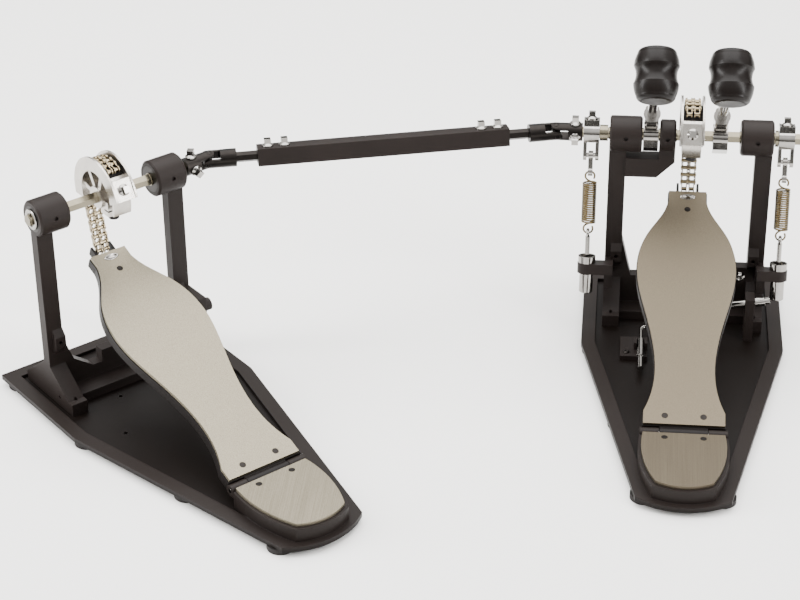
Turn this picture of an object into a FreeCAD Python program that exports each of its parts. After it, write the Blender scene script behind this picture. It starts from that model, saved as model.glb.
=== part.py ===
import FreeCAD, Part
import math
import os

import Sketcher

Vector = FreeCAD.Vector
Rotation = FreeCAD.Rotation
Placement = FreeCAD.Placement

# Sizes of the double pedal, in millimetres and degrees
sizes = {
    "axle_height": 177,
    # base plates
    "foot_height": 4.5,
    "foot_radius": 11,
    "foot_edge": 1,
    "plate_thickness": 4.5,
    "recess_depth": 3,
    "rim_width": 12,
    "plate_half_width": 87,
    "rear_reach": 52,
    "kink_reach": 70,
    "heel_run": 74,
    "heel_half_width": 38,
    "heel_bulge": 13,
    "plate_corner": 9,
    # heel block, heel plate and hinge
    "hinge_reach": 222.5,
    "hinge_height": 19.5,
    "hinge_pin_radius": 2,
    "knuckle_radius": 4.6,
    "knuckle_half_width": 19.5,
    "knuckle_gap": 0.4,
    "heel_plate_thickness": 3,
    "heel_plate_top": 24,
    "heel_plate_gap": 5.1,
    "heel_plate_length": 67.4,
    "heel_plate_half_width": 33,
    "heel_plate_tail_half_width": 22.6,
    "heel_plate_side_bulge": 5,
    "heel_plate_tail_bulge": 6.5,
    "heel_border": 2.5,
    "floor_hole_radius": 1.6,
    "clip_hole_x": 47.5,
    "clip_hole_reach": 85.3,
    "floor_hole_x": 22,
    "floor_hole_reach": 35,
    # pedestals
    "barrel_radius": 15.5,
    "barrel_length": 27.7,
    "barrel_outer": 69.5,
    "barrel_chamfer": 1.5,
    "grub_radius": 1.8,
    "grub_depth": 2,
    "grub_angle": 8,
    "post_width": 14.5,
    "post_depth": 10,
    "wedge_top": 38,
    "wedge_reach": 38,
    "wedge_nose_height": 17,
    "wedge_flat": 6,
    "step_top": 72,
    "step_height": 22,
    "step_reach": 5,
    "step_width": 9.5,
    "step_slope": 6,
    "step_hole_radius": 1.7,
    "foot_hole_radius": 1.5,
    "foot_hole_reach": 31.5,
    "foot_hole_depth": 6,
    "side_hole_radius": 1.4,
    "side_hole_reach": 17,
    "side_hole_height": 14.5,
    "side_hole_depth": 4,
    "rear_toe_reach": 38,
    "rear_toe_height": 34,
    "rear_toe_nose": 14,
    "cross_beam_top": 40,
    "slave_beam_top": 25,
    "slave_boss_reach": 20,
    "slave_boss_length": 30,
    "slave_boss_top": 36,
    "ledge_reach": 24,
    "ledge_top": 14,
    "gusset_height": 36,
    "gusset_width": 8.5,
    "gusset_step": 13,
    "gusset_reach": 26,
    "arm_inner": 13.2,
    "arm_width": 13.6,
    "arm_depth": 15,
    "arm_head_radius": 13.5,
    "arm_beam_drop": 20,
    "arm_beam_height": 17.5,
    "arm_chamfer": 15,
    # bearings and shafts
    "bearing_radius": 11,
    "bearing_width": 7,
    "arm_bearing_width": 6.4,
    "journal_radius": 5.4,
    "running_clearance": 0.05,
    "seat_clearance": 0.02,
    "hex_across_flats": 9,
    "hex_clearance": 0.1,
    "shaft_gap": 0.5,
    "shaft_end": 93,
    "collar_radius": 7,
    "collar_start": 71,
    "right_collar_length": 2.5,
    "left_collar_length": 7,
    "slave_shaft_end": 74,
    # cams
    "cam_radius": 34.5,
    "cam_half_width": 10,
    "cam_flange": 1.8,
    "cam_bed_radius": 25.6,
    "cam_window_radius": 22.6,
    "cam_hub_radius": 9.5,
    "cam_spoke": 4,
    "cam_flat": 9,
    "clamp_angle": 151.5,
    "clamp_half_height": 9,
    "clamp_reach": 33.5,
    "clamp_depth": 14,
    "cam_block_half_width": 8,
    "cam_block_drop": 13,
    "cam_block_reach": 15,
    "cam_block_depth": 12,
    "cam_slit": 1.2,
    "cam_spoke_angle": 10,
    "cam_spoke_step": 50,
    # roller chains
    "chain_pitch": 6.35,
    "chain_radius": 29.5,
    "chain_tilt": 14,
    "chain_drop_links": 9,
    "chain_wrap_links": 7,
    "strand_offset": 3.2,
    "roller_radius": 1.65,
    "pin_radius": 1.14,
    "pin_clearance": 0.06,
    "pin_half_length": 6.9,
    "link_plate": 0.75,
    "link_gap": 0.15,
    "inner_plate_radius": 2.95,
    "outer_plate_radius": 2.65,
    "roller_length": 3.2,
    "link_waist_share": 0.8,
    # footboards
    "footboard_rise": 5.5,
    "footboard_thickness": 3,
    "footboard_heel_gap": 6,
    "toe_overhang": 7.5,
    "toe_half_width": 16.2,
    "heel_end_half_width": 33,
    "waist_half_width": 25,
    "middle_half_width": 33,
    "ball_half_width": 41.5,
    "shoulder_half_width": 34,
    "neck_half_width": 20.5,
    "heel_straight_share": 0.05,
    "waist_share": 0.27,
    "middle_share": 0.45,
    "ball_share": 0.63,
    "shoulder_share": 0.8,
    "neck_share": 0.9,
    "toe_straight_share": 0.955,
    "tray_depth": 8.5,
    "tray_wall": 2.5,
    "tray_inset": -0.7,
    "toe_cheek_inner": 7.6,
    "toe_cheek_outer": 9.6,
    "toe_cheek_drop": 8,
    "toe_cheek_reach": 4,
    # screws
    "screw_head_radius": 2.7,
    "screw_head_height": 2.2,
    "screw_shank_radius": 1.6,
    "screw_length": 8,
    "screw_spacing": 15.6,
    "heel_screw_reach": 6.4,
    "tread_screw_reach": 8,
    "toe_screw_reach": 20,
    "screw_crown": 0.2,
    "key_bolt_flange_radius": 4.8,
    "key_bolt_flange_height": 2.6,
    "key_bolt_head": 5.6,
    "key_bolt_head_height": 6.5,
    "key_bolt_shank_radius": 2.4,
    "key_bolt_length": 2.3,
    "key_bolt_clearance": 0.1,
    # beaters
    "beater_angle": 140.2,
    "beater_reach": 155.6,
    "beater_rod_radius": 4,
    "beater_rod_offset": 11.5,
    "beater_length": 43,
    "beater_radius": 18.2,
    "beater_waist_bow": 1.9,
    "beater_shoulder_radius": 15.8,
    "beater_end_radius": 11,
    "beater_bulge_share": 0.34,
    "beater_shoulder_share": 0.8,
    "beater_side_bow": 0.5,
    "beater_cap_bow": 1.2,
    "right_hub_centre": 24.3,
    "left_hub_centre": 34.5,
    "hub_width": 12.6,
    "hub_radius": 10.5,
    "hub_neck_half_depth": 7,
    "hub_reach": 27,
    "hub_collar_radius": 7.2,
    "hub_collar_height": 3.5,
    "hub_foot_drop": 13,
    "hub_neck_drop": 12,
    "hub_bolt_height": 14,
    "hub_neck_width": 11.5,
    "hub_neck_round": 2.1,
    "hub_waist_radius": 6,
    # return springs
    "right_spring_offset": 80.5,
    "left_spring_offset": 85,
    "spring_eye_reach": 20,
    "spring_eye_drop": 82.5,
    "rocker_width": 13.4,
    "rocker_radius": 9,
    "rocker_cheek": 3,
    "rocker_top": 12,
    "rocker_top_depth": 12.6,
    "rocker_leg_depth": 9,
    "rocker_pin_distance": 20,
    "rocker_pin_radius": 2,
    "spring_link_length": 14.5,
    "spring_link_thickness": 4,
    "spring_link_radius": 3.8,
    "spring_link_waist": 5,
    "wire_hole_radius": 1.7,
    "wire_radius": 0.7,
    "coil_radius": 5.5,
    "coil_pitch": 1.95,
    "coil_turns": 18,
    "loop_radius": 4,
    "loop_end_share": 0.62,
    "loop_lead_share": 0.2,
    "loop_side_share": 0.35,
    "eye_ring_radius": 2.8,
    "eye_wire_radius": 1.4,
    "eyebolt_radius": 2,
    "cup_height": 6,
    "cup_radius": 7.5,
    "cup_bore_radius": 5.6,
    "lug_distance": 116,
    "lug_height": 9,
    "lug_radius": 8,
    "lug_foot_drop": 13.5,
    "lug_foot_reach": 32,
    "stub_bottom": 50,
    "stub_radius": 5.5,
    "stub_reach": 6.5,
    "lug_bore_clearance": 0.3,
    "lower_nut_share": 0.387,
    "lower_nut_radius": 6,
    "lower_nut_chamfer": 0.9,
    "nut_clearance": 0.1,
    # linkage
    "main_joint_reach": 115.6,
    "slave_joint_reach": 99,
    "slave_yaw": 42.8,
    "link_yaw": 14.7,
    "link_length": 299.7,
    "yoke_radius": 7.8,
    "yoke_reach": 24,
    "yoke_slot_half_width": 4.6,
    "yoke_arm_half_width": 4.2,
    "yoke_arm_start": 10.5,
    "cross_pin_radius": 1.8,
    "cross_pin_clearance": 0.3,
    "cross_cube_half": 3.4,
    "cross_round": 1.36,
    "cross_pin_shy": 0.2,
    "joint_gap": 1,
    "tube_inset": 42,
    "tube_side": 15.6,
    "tube_roll": 10,
    "tube_round": 0.8,
    "tube_bolt_length": 1.5,
    "tube_bore_radius": 4.9,
    "rod_across_flats": 8,
    "main_rod_share": 0.324,
    "slave_rod_share": 0.509,
    "tube_bolt_inset": 9,
    "tube_bolt_spacing": 14.3,
    "yoke_bolt_reach": 16.5,
    "yoke_bolt_angle": 105,
    # hoop clamp
    "jaw_pivot_rise": 7,
    "jaw_pin_radius": 2.5,
    "jaw_hub_radius": 5,
    "jaw_hub_start": 21,
    "jaw_hub_length": 16,
    "jaw_tail_reach": 50,
    "jaw_tail_height": 11,
    "jaw_arm_start": 10.5,
    "jaw_arm_depth": 6,
    "jaw_plate_half_width": 24,
    "jaw_plate_reach": 46,
    "jaw_plate_bottom": 17.5,
    "jaw_plate_height": 5,
    "ear_width": 5,
    "clamp_screw_tilt": 11,
    "clamp_screw_y": 45,
    "clamp_screw_inner": 33,
    "clamp_screw_inner_z": 35.4,
    "clamp_screw_radius": 3,
    "clamp_screw_length": 42,
    "clamp_knurl_radius": 4.2,
    "clamp_knurl_start": 29.5,
    "clamp_knurl_length": 8,
    "boss_start": 53,
    "boss_width": 8,
    "boss_half_depth": 7.5,
    "boss_top": 47,
    # drum key in its clip
    "key_x": 35.5,
    "key_start": 48,
    "key_length": 68,
    "key_radius": 1.6,
    "key_bend": 5,
    "key_leg": 20,
    "key_sleeve_radius": 3.1,
    "key_sleeve_length": 27,
    "key_tip_radius": 2.3,
    "key_tip_length": 18,
    "clip_reach": 76,
    "clip_length": 32,
    "clip_width": 17.5,
    "clip_height": 4,
    "clip_wall": 2.4,
    "key_clearance": 0.3,
}

doc = FreeCAD.newDocument("double_bass_drum_pedal")
sheet = doc.addObject("Spreadsheet::Sheet", "Sizes")
for row, (alias, value) in enumerate(sizes.items(), start=1):
    sheet.set(f"A{row}", alias)
    sheet.set(f"B{row}", str(value))
    sheet.setAlias(f"B{row}", alias)
doc.recompute()


class Size:
    """A length that knows its value and the sheet expression it comes from."""

    def __init__(self, value, text):
        self.value = float(value)
        self.text = text

    def __float__(self):
        return self.value

    def __add__(self, other):
        return Size(self.value + float(other), f"({self.text} + {words(other)})")

    def __radd__(self, other):
        return Size(float(other) + self.value, f"({words(other)} + {self.text})")

    def __sub__(self, other):
        return Size(self.value - float(other), f"({self.text} - {words(other)})")

    def __rsub__(self, other):
        return Size(float(other) - self.value, f"({words(other)} - {self.text})")

    def __mul__(self, other):
        return Size(self.value * float(other), f"({self.text} * {words(other)})")

    def __rmul__(self, other):
        return Size(float(other) * self.value, f"({words(other)} * {self.text})")

    def __truediv__(self, other):
        return Size(self.value / float(other), f"({self.text} / {words(other)})")

    def __neg__(self):
        return Size(-self.value, f"(0 - {self.text})")


def words(part):
    return part.text if isinstance(part, Size) else repr(float(part))


class Sheet:
    def __getattr__(self, alias):
        return Size(sheet.get(alias), f"Sizes.{alias}")


s = Sheet()
nodes = []


def bind(item, path, size):
    if isinstance(size, Size):
        item.setExpression(path, size.text)


def place(item, x, y, z, turn=None):
    item.Placement = Placement(Vector(float(x), float(y), float(z)), turn or Rotation())
    bind(item, "Placement.Base.x", x)
    bind(item, "Placement.Base.y", y)
    bind(item, "Placement.Base.z", z)
    return item


# Plain solids, each bound to the sheet
def block(name, length, width, height, x, y, z):
    item = doc.addObject("Part::Box", name)
    for prop, size in (("Length", length), ("Width", width), ("Height", height)):
        setattr(item, prop, float(size))
        bind(item, prop, size)
    return place(item, x, y, z)


axis_turns = {
    "X": Rotation(Vector(0, 1, 0), 90),
    "Y": Rotation(Vector(1, 0, 0), -90),
    "Z": Rotation(),
}


def round_bar(name, radius, length, x, y, z, axis="X"):
    item = doc.addObject("Part::Cylinder", name)
    item.Radius = float(radius)
    item.Height = float(length)
    bind(item, "Radius", radius)
    bind(item, "Height", length)
    return place(item, x, y, z, axis_turns[axis])


def hex_bar(name, across_flats, length, x, y, z, axis="X"):
    item = doc.addObject("Part::Prism", name)
    item.Polygon = 6
    radius = across_flats / math.sqrt(3)
    item.Circumradius = float(radius)
    item.Height = float(length)
    bind(item, "Circumradius", radius)
    bind(item, "Height", length)
    return place(item, x, y, z, axis_turns[axis])


def fused(name, pieces):
    item = doc.addObject("Part::MultiFuse", name)
    item.Shapes = pieces
    item.Refine = True
    return item


def cut(name, base, tools):
    item = doc.addObject("Part::Cut", name)
    item.Base = base
    item.Tool = tools[0] if len(tools) == 1 else fused(name + "_tools", tools)
    item.Refine = True
    return item


def group(name, pieces):
    item = doc.addObject("Part::Compound", name)
    item.Links = pieces
    return item


def placed_group(name, pieces, spot):
    item = group(name, pieces)
    item.Placement = spot
    return item


def outline(name, corners, turn=None, sketch=None):
    # a closed outline, each corner bound to the sheet, with a sagitta where a side bows out
    if sketch is None:
        sketch = doc.addObject("Sketcher::SketchObject", name)
        sketch.Placement = Placement(Vector(), turn or Rotation())
    count = len(corners)
    for index, corner in enumerate(corners):
        start = Vector(float(corner[0]), float(corner[1]), 0)
        following = corners[(index + 1) % count]
        end = Vector(float(following[0]), float(following[1]), 0)
        if len(corner) == 2:
            sketch.addGeometry(Part.LineSegment(start, end))
            continue
        along = end - start
        side = Vector(along.y, -along.x, 0).normalize()
        sketch.addGeometry(Part.Arc(start, (start + end) / 2 + side * float(corner[2]), end))
    for index, corner in enumerate(corners):
        turned = len(corner) == 3 and float(corner[2]) < 0
        first = (index, 2 if turned else 1)
        before = corners[index - 1]
        before_turned = len(before) == 3 and float(before[2]) < 0
        last = ((index - 1) % count, 1 if before_turned else 2)
        sketch.addConstraint(Sketcher.Constraint("Coincident", *last, *first))
    for index, corner in enumerate(corners):
        turned = len(corner) == 3 and float(corner[2]) < 0
        first = (index, 2 if turned else 1)
        for kind, size, axis in (("DistanceX", corner[0], -2), ("DistanceY", corner[1], -1)):
            if isinstance(size, Size):
                mark = sketch.addConstraint(Sketcher.Constraint(kind, -1, 1, *first, float(size)))
                sketch.setExpression(f"Constraints[{mark}]", size.text)
            else:
                sketch.addConstraint(Sketcher.Constraint("PointOnObject", *first, axis))
        if len(corner) == 3:
            following = corners[(index + 1) % count]
            across = following[0] - corner[0]
            along = following[1] - corner[1]
            bow = corner[2]
            radius = (across * across + along * along + 4 * bow * bow) / (8 * bow)
            if float(bow) < 0:
                radius = -radius
            mark = sketch.addConstraint(Sketcher.Constraint("Radius", index, float(radius)))
            sketch.setExpression(f"Constraints[{mark}]", radius.text)
    return sketch


def extruded(name, sketch, length, x=0, y=0, z=0):
    item = doc.addObject("Part::Extrusion", name)
    item.Base = sketch
    item.DirMode = "Normal"
    item.Solid = True
    item.LengthFwd = float(length)
    bind(item, "LengthFwd", length)
    return place(item, x, y, z)


# a sketch whose own x runs along Y and y along Z, so that it is pushed along +X
side_view = Rotation(Vector(1, 1, 1), 120)
# a sketch whose own y runs along Z, so that it is pushed along -Y
front_view = Rotation(Vector(1, 0, 0), 90)


def turned_body(name, profile):
    # a body of revolution about Z from pairs of radius and height
    body = doc.addObject("PartDesign::Body", name)
    sketch = body.newObject("Sketcher::SketchObject", name + "_profile")
    plane = [item for item in body.Origin.OriginFeatures if item.Role == "XZ_Plane"][0]
    sketch.AttachmentSupport = (plane, [""])
    sketch.MapMode = "FlatFace"
    outline(name, profile, sketch=sketch)
    spin = body.newObject("PartDesign::Revolution", name + "_turned")
    spin.Profile = sketch
    spin.ReferenceAxis = (sketch, ["V_Axis"])
    spin.Angle = 360
    sketch.Visibility = False
    return body


def repeated(name, source, spots):
    # the same piece at several places, as one group
    doc.recompute()
    shapes = []
    for spot in spots:
        copy = source.Shape.copy()
        copy.Placement = spot.multiply(copy.Placement)
        shapes.append(copy)
    item = doc.addObject("Part::Feature", name)
    item.Shape = Part.makeCompound(shapes)
    return item


def solid_feature(name, shape):
    item = doc.addObject("Part::Feature", name)
    item.Shape = shape
    return item


def node(item, label, spot=None, solids=1):
    if spot is not None:
        item.Placement = spot.multiply(item.Placement)
    item.Label = label
    nodes.append((item, solids))
    return item


# Where the two pedals stand
def direction(degrees):
    return Vector(math.cos(math.radians(degrees)), math.sin(math.radians(degrees)), 0)


axle = Vector(0, 0, float(s.axle_height))
main_joint = Vector(-float(s.main_joint_reach), 0, axle.z)
slave_joint = main_joint - direction(float(s.link_yaw)) * float(s.link_length)
slave_origin = slave_joint - direction(float(s.slave_yaw)) * float(s.slave_joint_reach)
main_spot = Placement()
slave_spot = Placement(
    Vector(slave_origin.x, slave_origin.y, 0), Rotation(Vector(0, 0, 1), float(s.slave_yaw)))

heel_reach = s.hinge_reach + s.heel_run
heel_front = s.hinge_reach + s.heel_plate_gap
heel_corner = heel_front + s.heel_plate_length
plate_bottom = s.foot_height
rim_top = s.foot_height + s.plate_thickness
floor_top = rim_top - s.recess_depth

# Chain run on the cam, in the plane across the axle
link_angle = 2 * math.degrees(math.asin(float(s.chain_pitch) / 2 / float(s.chain_radius)))
drop_turn = -float(s.chain_tilt)
first_pin_angle = drop_turn + link_angle / 2


def around_axle(degrees, radius):
    turn = math.radians(degrees)
    return Vector(0, radius * math.cos(turn), axle.z + radius * math.sin(turn))


def cam_pin(index):
    return around_axle(first_pin_angle + index * link_angle, float(s.chain_radius))


# pins that straighten as the chain leaves the cam
free_pins = (0, 1, 2, 3)
drop_way = Vector(0, math.sin(math.radians(drop_turn)), -math.cos(math.radians(drop_turn)))
toe_pin = cam_pin(0) + drop_way * (float(s.chain_pitch) * float(s.chain_drop_links))
hinge = Vector(0, -float(s.hinge_reach), float(s.hinge_height))
toe_distance = (toe_pin - hinge).Length
footboard_turn = math.degrees(math.atan2(toe_pin.z - hinge.z, toe_pin.y - hinge.y))
footboard_spot = Placement(hinge, Rotation(Vector(1, 0, 0), footboard_turn))
print("footboard incline", round(footboard_turn, 3), "toe distance", round(toe_distance, 3))


# Base plates with the heel block and its hinge knuckles
def heel_outline(name, border):
    wide = s.heel_plate_half_width + border
    tail = s.heel_plate_tail_half_width + border
    front = -heel_front
    corner = -heel_corner - border
    return outline(name, [
        (wide, front),
        (-wide, front, s.heel_plate_side_bulge),
        (-tail, corner, s.heel_plate_tail_bulge),
        (tail, corner, s.heel_plate_side_bulge),
    ])


def base_plate(prefix, spot):
    wide = s.plate_half_width
    corners = [
        (wide, s.rear_reach),
        (-wide, s.rear_reach),
        (-wide, -s.kink_reach),
        (-s.heel_half_width, -heel_reach, s.heel_bulge),
        (s.heel_half_width, -heel_reach),
        (wide, -s.kink_reach),
    ]
    edge = outline(prefix + "_base_edge", corners)
    slab = extruded(prefix + "_slab", edge, s.plate_thickness, 0, 0, plate_bottom)
    inner = doc.addObject("Part::Offset2D", prefix + "_recess_edge")
    inner.Source = edge
    inner.Value = -float(s.rim_width)
    bind(inner, "Value", -s.rim_width)
    recess = extruded(prefix + "_recess", inner, s.recess_depth, 0, 0, floor_top)
    tray = cut(prefix + "_recessed_plate", slab, [recess])
    heel = extruded(
        prefix + "_heel_rise", heel_outline(prefix + "_heel_edge", s.heel_border),
        s.heel_plate_top - s.heel_plate_thickness - plate_bottom, 0, 0, plate_bottom)
    knuckle = s.heel_plate_half_width + s.heel_border - s.knuckle_half_width - s.knuckle_gap
    pieces = [tray, heel]
    for start in (s.knuckle_half_width + s.knuckle_gap, -s.knuckle_half_width - s.knuckle_gap - knuckle):
        pieces.append(round_bar(
            prefix + "_knuckle", s.knuckle_radius, knuckle, start, -s.hinge_reach, s.hinge_height))
        pieces.append(block(
            prefix + "_knuckle_web", knuckle, heel_front - s.hinge_reach + s.heel_border,
            s.knuckle_radius, start, -heel_front - s.heel_border,
            s.hinge_height - s.knuckle_radius))
    body = fused(prefix + "_base_solid", pieces)
    reach = s.heel_plate_half_width + s.heel_border * 2
    bore = round_bar(
        prefix + "_hinge_bore", s.hinge_pin_radius + s.seat_clearance, reach * 2, -reach,
        -s.hinge_reach, s.hinge_height)
    clear = round_bar(
        prefix + "_knuckle_clearance", s.knuckle_radius + s.knuckle_gap, s.knuckle_half_width * 2,
        -s.knuckle_half_width, -s.hinge_reach, s.hinge_height)
    tools = [bore, clear]
    for x, y in screw_spots():
        tools.append(round_bar(
            prefix + "_screw_hole", s.screw_shank_radius + s.seat_clearance, s.screw_length,
            x, y, s.heel_plate_top - s.screw_head_height - s.screw_length, "Z"))
    for x, y in ((s.clip_hole_x, s.clip_hole_reach), (s.floor_hole_x, s.floor_hole_reach)):
        tools.append(round_bar(
            prefix + "_floor_hole", s.floor_hole_radius, s.plate_thickness, -x, -y, plate_bottom, "Z"))
    node(cut(prefix + "_base", body, tools), prefix + "_base_plate", spot)


def screw_spots():
    reach = -heel_front - s.heel_screw_reach
    return [(s.screw_spacing, reach), (-s.screw_spacing, reach)]


def heel_plate(prefix, spot):
    flat = extruded(
        prefix + "_heel_flat", heel_outline(prefix + "_heel_plate_edge", 0),
        s.heel_plate_thickness, 0, 0, s.heel_plate_top - s.heel_plate_thickness)
    tools = []
    for x, y in screw_spots():
        tools.append(round_bar(
            prefix + "_head_sink", s.screw_head_radius + s.seat_clearance, s.screw_head_height,
            x, y, s.heel_plate_top - s.screw_head_height, "Z"))
        tools.append(round_bar(
            prefix + "_shank_hole", s.screw_shank_radius + s.seat_clearance, s.heel_plate_thickness,
            x, y, s.heel_plate_top - s.heel_plate_thickness, "Z"))
    node(cut(prefix + "_heel_drilled", flat, tools), prefix + "_heel_plate", spot)


# Pedestals: two posts with bearing barrels, wedge feet and a low cross beam
def pedestal(prefix, spot, is_main):
    half = s.post_depth / 2
    inner = s.barrel_outer - s.post_width
    barrel_inner = s.barrel_outer - s.barrel_length
    pieces = []
    for side, barrel_start, post_start in (
            ("right", barrel_inner, inner), ("left", -s.barrel_outer, -s.barrel_outer)):
        pieces.append(chamfered_bar(
            prefix + "_barrel", s.barrel_radius, s.barrel_length, s.barrel_chamfer, barrel_start))
        profile = [
            (half, floor_top + s.rear_toe_height),
            (half, s.axle_height),
            (-half, s.axle_height),
            (-half, s.wedge_top),
            (-s.wedge_reach + s.wedge_flat, s.wedge_nose_height),
            (-s.wedge_reach, s.wedge_nose_height),
            (-s.wedge_reach, floor_top),
            (s.rear_toe_reach, floor_top),
            (s.rear_toe_reach, s.rear_toe_nose),
        ]
        sketch = outline(f"{prefix}_{side}_post_profile", profile, side_view)
        pieces.append(extruded(f"{prefix}_{side}_post", sketch, s.post_width, post_start))
    for start in (inner, -inner - s.step_width):
        step = outline(prefix + "_step_profile", [
            (-half, s.step_top - s.step_height),
            (-half, s.step_top),
            (-half - s.step_reach, s.step_top - s.step_slope),
            (-half - s.step_reach, s.step_top - s.step_height + s.step_slope),
        ], side_view)
        pieces.append(extruded(prefix + "_step", step, s.step_width, start))
    beam_top = s.cross_beam_top if is_main else s.slave_beam_top
    pieces.append(block(
        prefix + "_cross_beam", inner * 2, s.post_depth, beam_top - floor_top, -inner, -half, floor_top))
    pieces.append(block(
        prefix + "_ledge", inner * 2, s.ledge_reach, s.ledge_top - floor_top,
        -inner, -s.ledge_reach, floor_top))
    corners = [(-inner, beam_top), (-inner, beam_top + s.gusset_height)]
    if is_main:
        corners.append((-inner + s.gusset_width, beam_top))
    else:
        corners.append((-inner + s.gusset_width, beam_top + s.gusset_step))
        corners.append((-inner + s.gusset_reach, beam_top))
    gusset = outline(prefix + "_gusset_profile", corners, front_view)
    pieces.append(extruded(prefix + "_gusset", gusset, s.post_depth, 0, half, 0))
    bores = []
    for side in (1, -1):
        bores.append(round_bar(
            prefix + "_step_hole", s.step_hole_radius, s.step_reach * 2, side * (inner + s.step_width / 2),
            -half - s.step_reach, s.step_top - s.step_height / 2, "Y"))
        bores.append(round_bar(
            prefix + "_foot_hole", s.foot_hole_radius, s.foot_hole_depth * 2, side * (inner + s.post_width / 2),
            -s.foot_hole_reach, s.wedge_nose_height - s.foot_hole_depth, "Z"))
        bores.append(round_bar(
            prefix + "_side_hole", s.side_hole_radius, s.side_hole_depth,
            s.barrel_outer - s.side_hole_depth if side > 0 else -s.barrel_outer,
            -s.side_hole_reach, s.side_hole_height))
    for start in (barrel_inner, -s.barrel_outer):
        bores.append(round_bar(
            prefix + "_barrel_bore", s.bearing_radius + s.seat_clearance, s.barrel_length,
            start, 0, s.axle_height))
    for start in (barrel_inner, -s.barrel_outer):
        bores.append(grub_hole(prefix, start + s.barrel_length / 2, s.barrel_radius))
    if is_main:
        add_arm(pieces, bores, inner)
        add_spring_lugs(pieces, bores)
        add_clamp_seat(pieces, bores, inner)
    else:
        add_stub(pieces)
        pieces.append(block(
            "slave_beam_boss", s.slave_boss_length, s.post_depth, s.slave_boss_top - floor_top,
            -s.slave_boss_reach, -half, floor_top))
    body = fused(prefix + "_pedestal_body", pieces)
    node(cut(prefix + "_pedestal_bored", body, bores), prefix + "_pedestal", spot)


# Set-screw hole in the front of a barrel
def grub_hole(prefix, middle, radius):
    hole = round_bar(prefix + "_grub_hole", s.grub_radius, s.grub_depth * 2, 0, 0, 0, "Y")
    front = Rotation(Vector(1, 0, 0), -float(s.grub_angle))
    mouth = front.multVec(Vector(0, -float(radius - s.grub_depth), 0))
    hole.Placement = Placement(
        Vector(float(middle), 0, axle.z) + mouth, front.multiply(axis_turns["Y"].inverted()))
    return hole


def chamfered_bar(name, radius, length, chamfer, start):
    bar = turned_body(name, [
        (0, 0),
        (radius - chamfer, 0),
        (radius, chamfer),
        (radius, length - chamfer),
        (radius - chamfer, length),
        (0, length),
    ])
    return place(bar, start, 0, s.axle_height, axis_turns["X"])


def add_arm(pieces, bores, inner):
    top = s.axle_height - s.arm_beam_drop
    bottom = top - s.arm_beam_height
    outer = s.arm_inner + s.arm_width
    arm = outline("arm_profile", [
        (-inner, bottom),
        (-s.arm_inner - s.arm_chamfer, bottom),
        (-s.arm_inner, bottom + s.arm_chamfer),
        (-s.arm_inner, s.axle_height),
        (-outer, s.axle_height),
        (-outer, top),
        (-inner, top),
    ], front_view)
    pieces.append(extruded("arm_beam", arm, s.arm_depth, 0, s.arm_depth / 2, 0))
    pieces.append(chamfered_bar("arm_head", s.arm_head_radius, s.arm_width, s.barrel_chamfer, -outer))
    bores.append(round_bar(
        "arm_bore", s.bearing_radius + s.seat_clearance, s.arm_width, -outer, 0, s.axle_height))
    bores.append(grub_hole("arm", s.arm_width / 2 - outer, s.arm_head_radius))


# The spring line runs from the axle down to the eyebolt, whose lower nut takes a share of the room under the lug
spring_tilt = math.degrees(math.atan2(float(s.spring_eye_reach), float(s.spring_eye_drop)))
spring_turn = Rotation(Vector(1, 0, 0), -spring_tilt)
lug_end = s.lug_distance + s.lug_height
lug_bottom = s.axle_height - lug_end * math.cos(math.radians(spring_tilt))
lower_nut_height = (lug_bottom - rim_top) * s.lower_nut_share


def spring_spot(side, distance):
    # a point on the spring line, with local Z pointing back up to the axle
    down = spring_turn.multVec(Vector(0, 0, -1))
    centre = Vector(side * float(spring_offset(side)), 0, axle.z)
    return Placement(centre + down * float(distance), spring_turn)


def spring_offset(side):
    return s.right_spring_offset if side > 0 else s.left_spring_offset


def add_spring_lugs(pieces, bores):
    for side in (1, -1):
        spot = spring_spot(side, lug_end)
        ring = round_bar("spring_lug", s.lug_radius, s.lug_height, 0, 0, 0, "Z")
        ring.Placement = spot
        length = spring_offset(side) - s.barrel_outer + s.post_width / 2
        start = -float(length) if side > 0 else 0
        web = block("lug_web", length, s.lug_radius * 2, s.lug_height, 0, 0, 0)
        web.Placement = spot.multiply(Placement(Vector(start, -float(s.lug_radius), 0), Rotation()))
        foot = block(
            "lug_foot", s.post_width / 2, s.lug_foot_reach, s.lug_radius * 2,
            s.barrel_outer - s.post_width / 2 if side > 0 else -s.barrel_outer,
            -s.lug_foot_reach, lug_bottom - s.lug_foot_drop)
        pieces.extend([ring, web, foot])
        hole = round_bar(
            "lug_hole", s.eyebolt_radius + s.lug_bore_clearance, s.lug_height, 0, 0, 0, "Z")
        hole.Placement = spot
        bores.append(hole)


# Bare lug on the slave's right post, which carries no spring
def add_stub(pieces):
    start = s.barrel_outer - s.post_width / 2
    pieces.append(block(
        "stub_foot", s.post_width / 2, s.lug_foot_reach, s.stub_radius * 2 + s.stub_reach, start,
        -s.lug_foot_reach, s.stub_bottom))
    pieces.append(round_bar(
        "stub_end", s.stub_radius, s.post_width / 2 + s.stub_reach, start,
        s.stub_reach - s.lug_foot_reach, s.stub_bottom + s.stub_reach))


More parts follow.
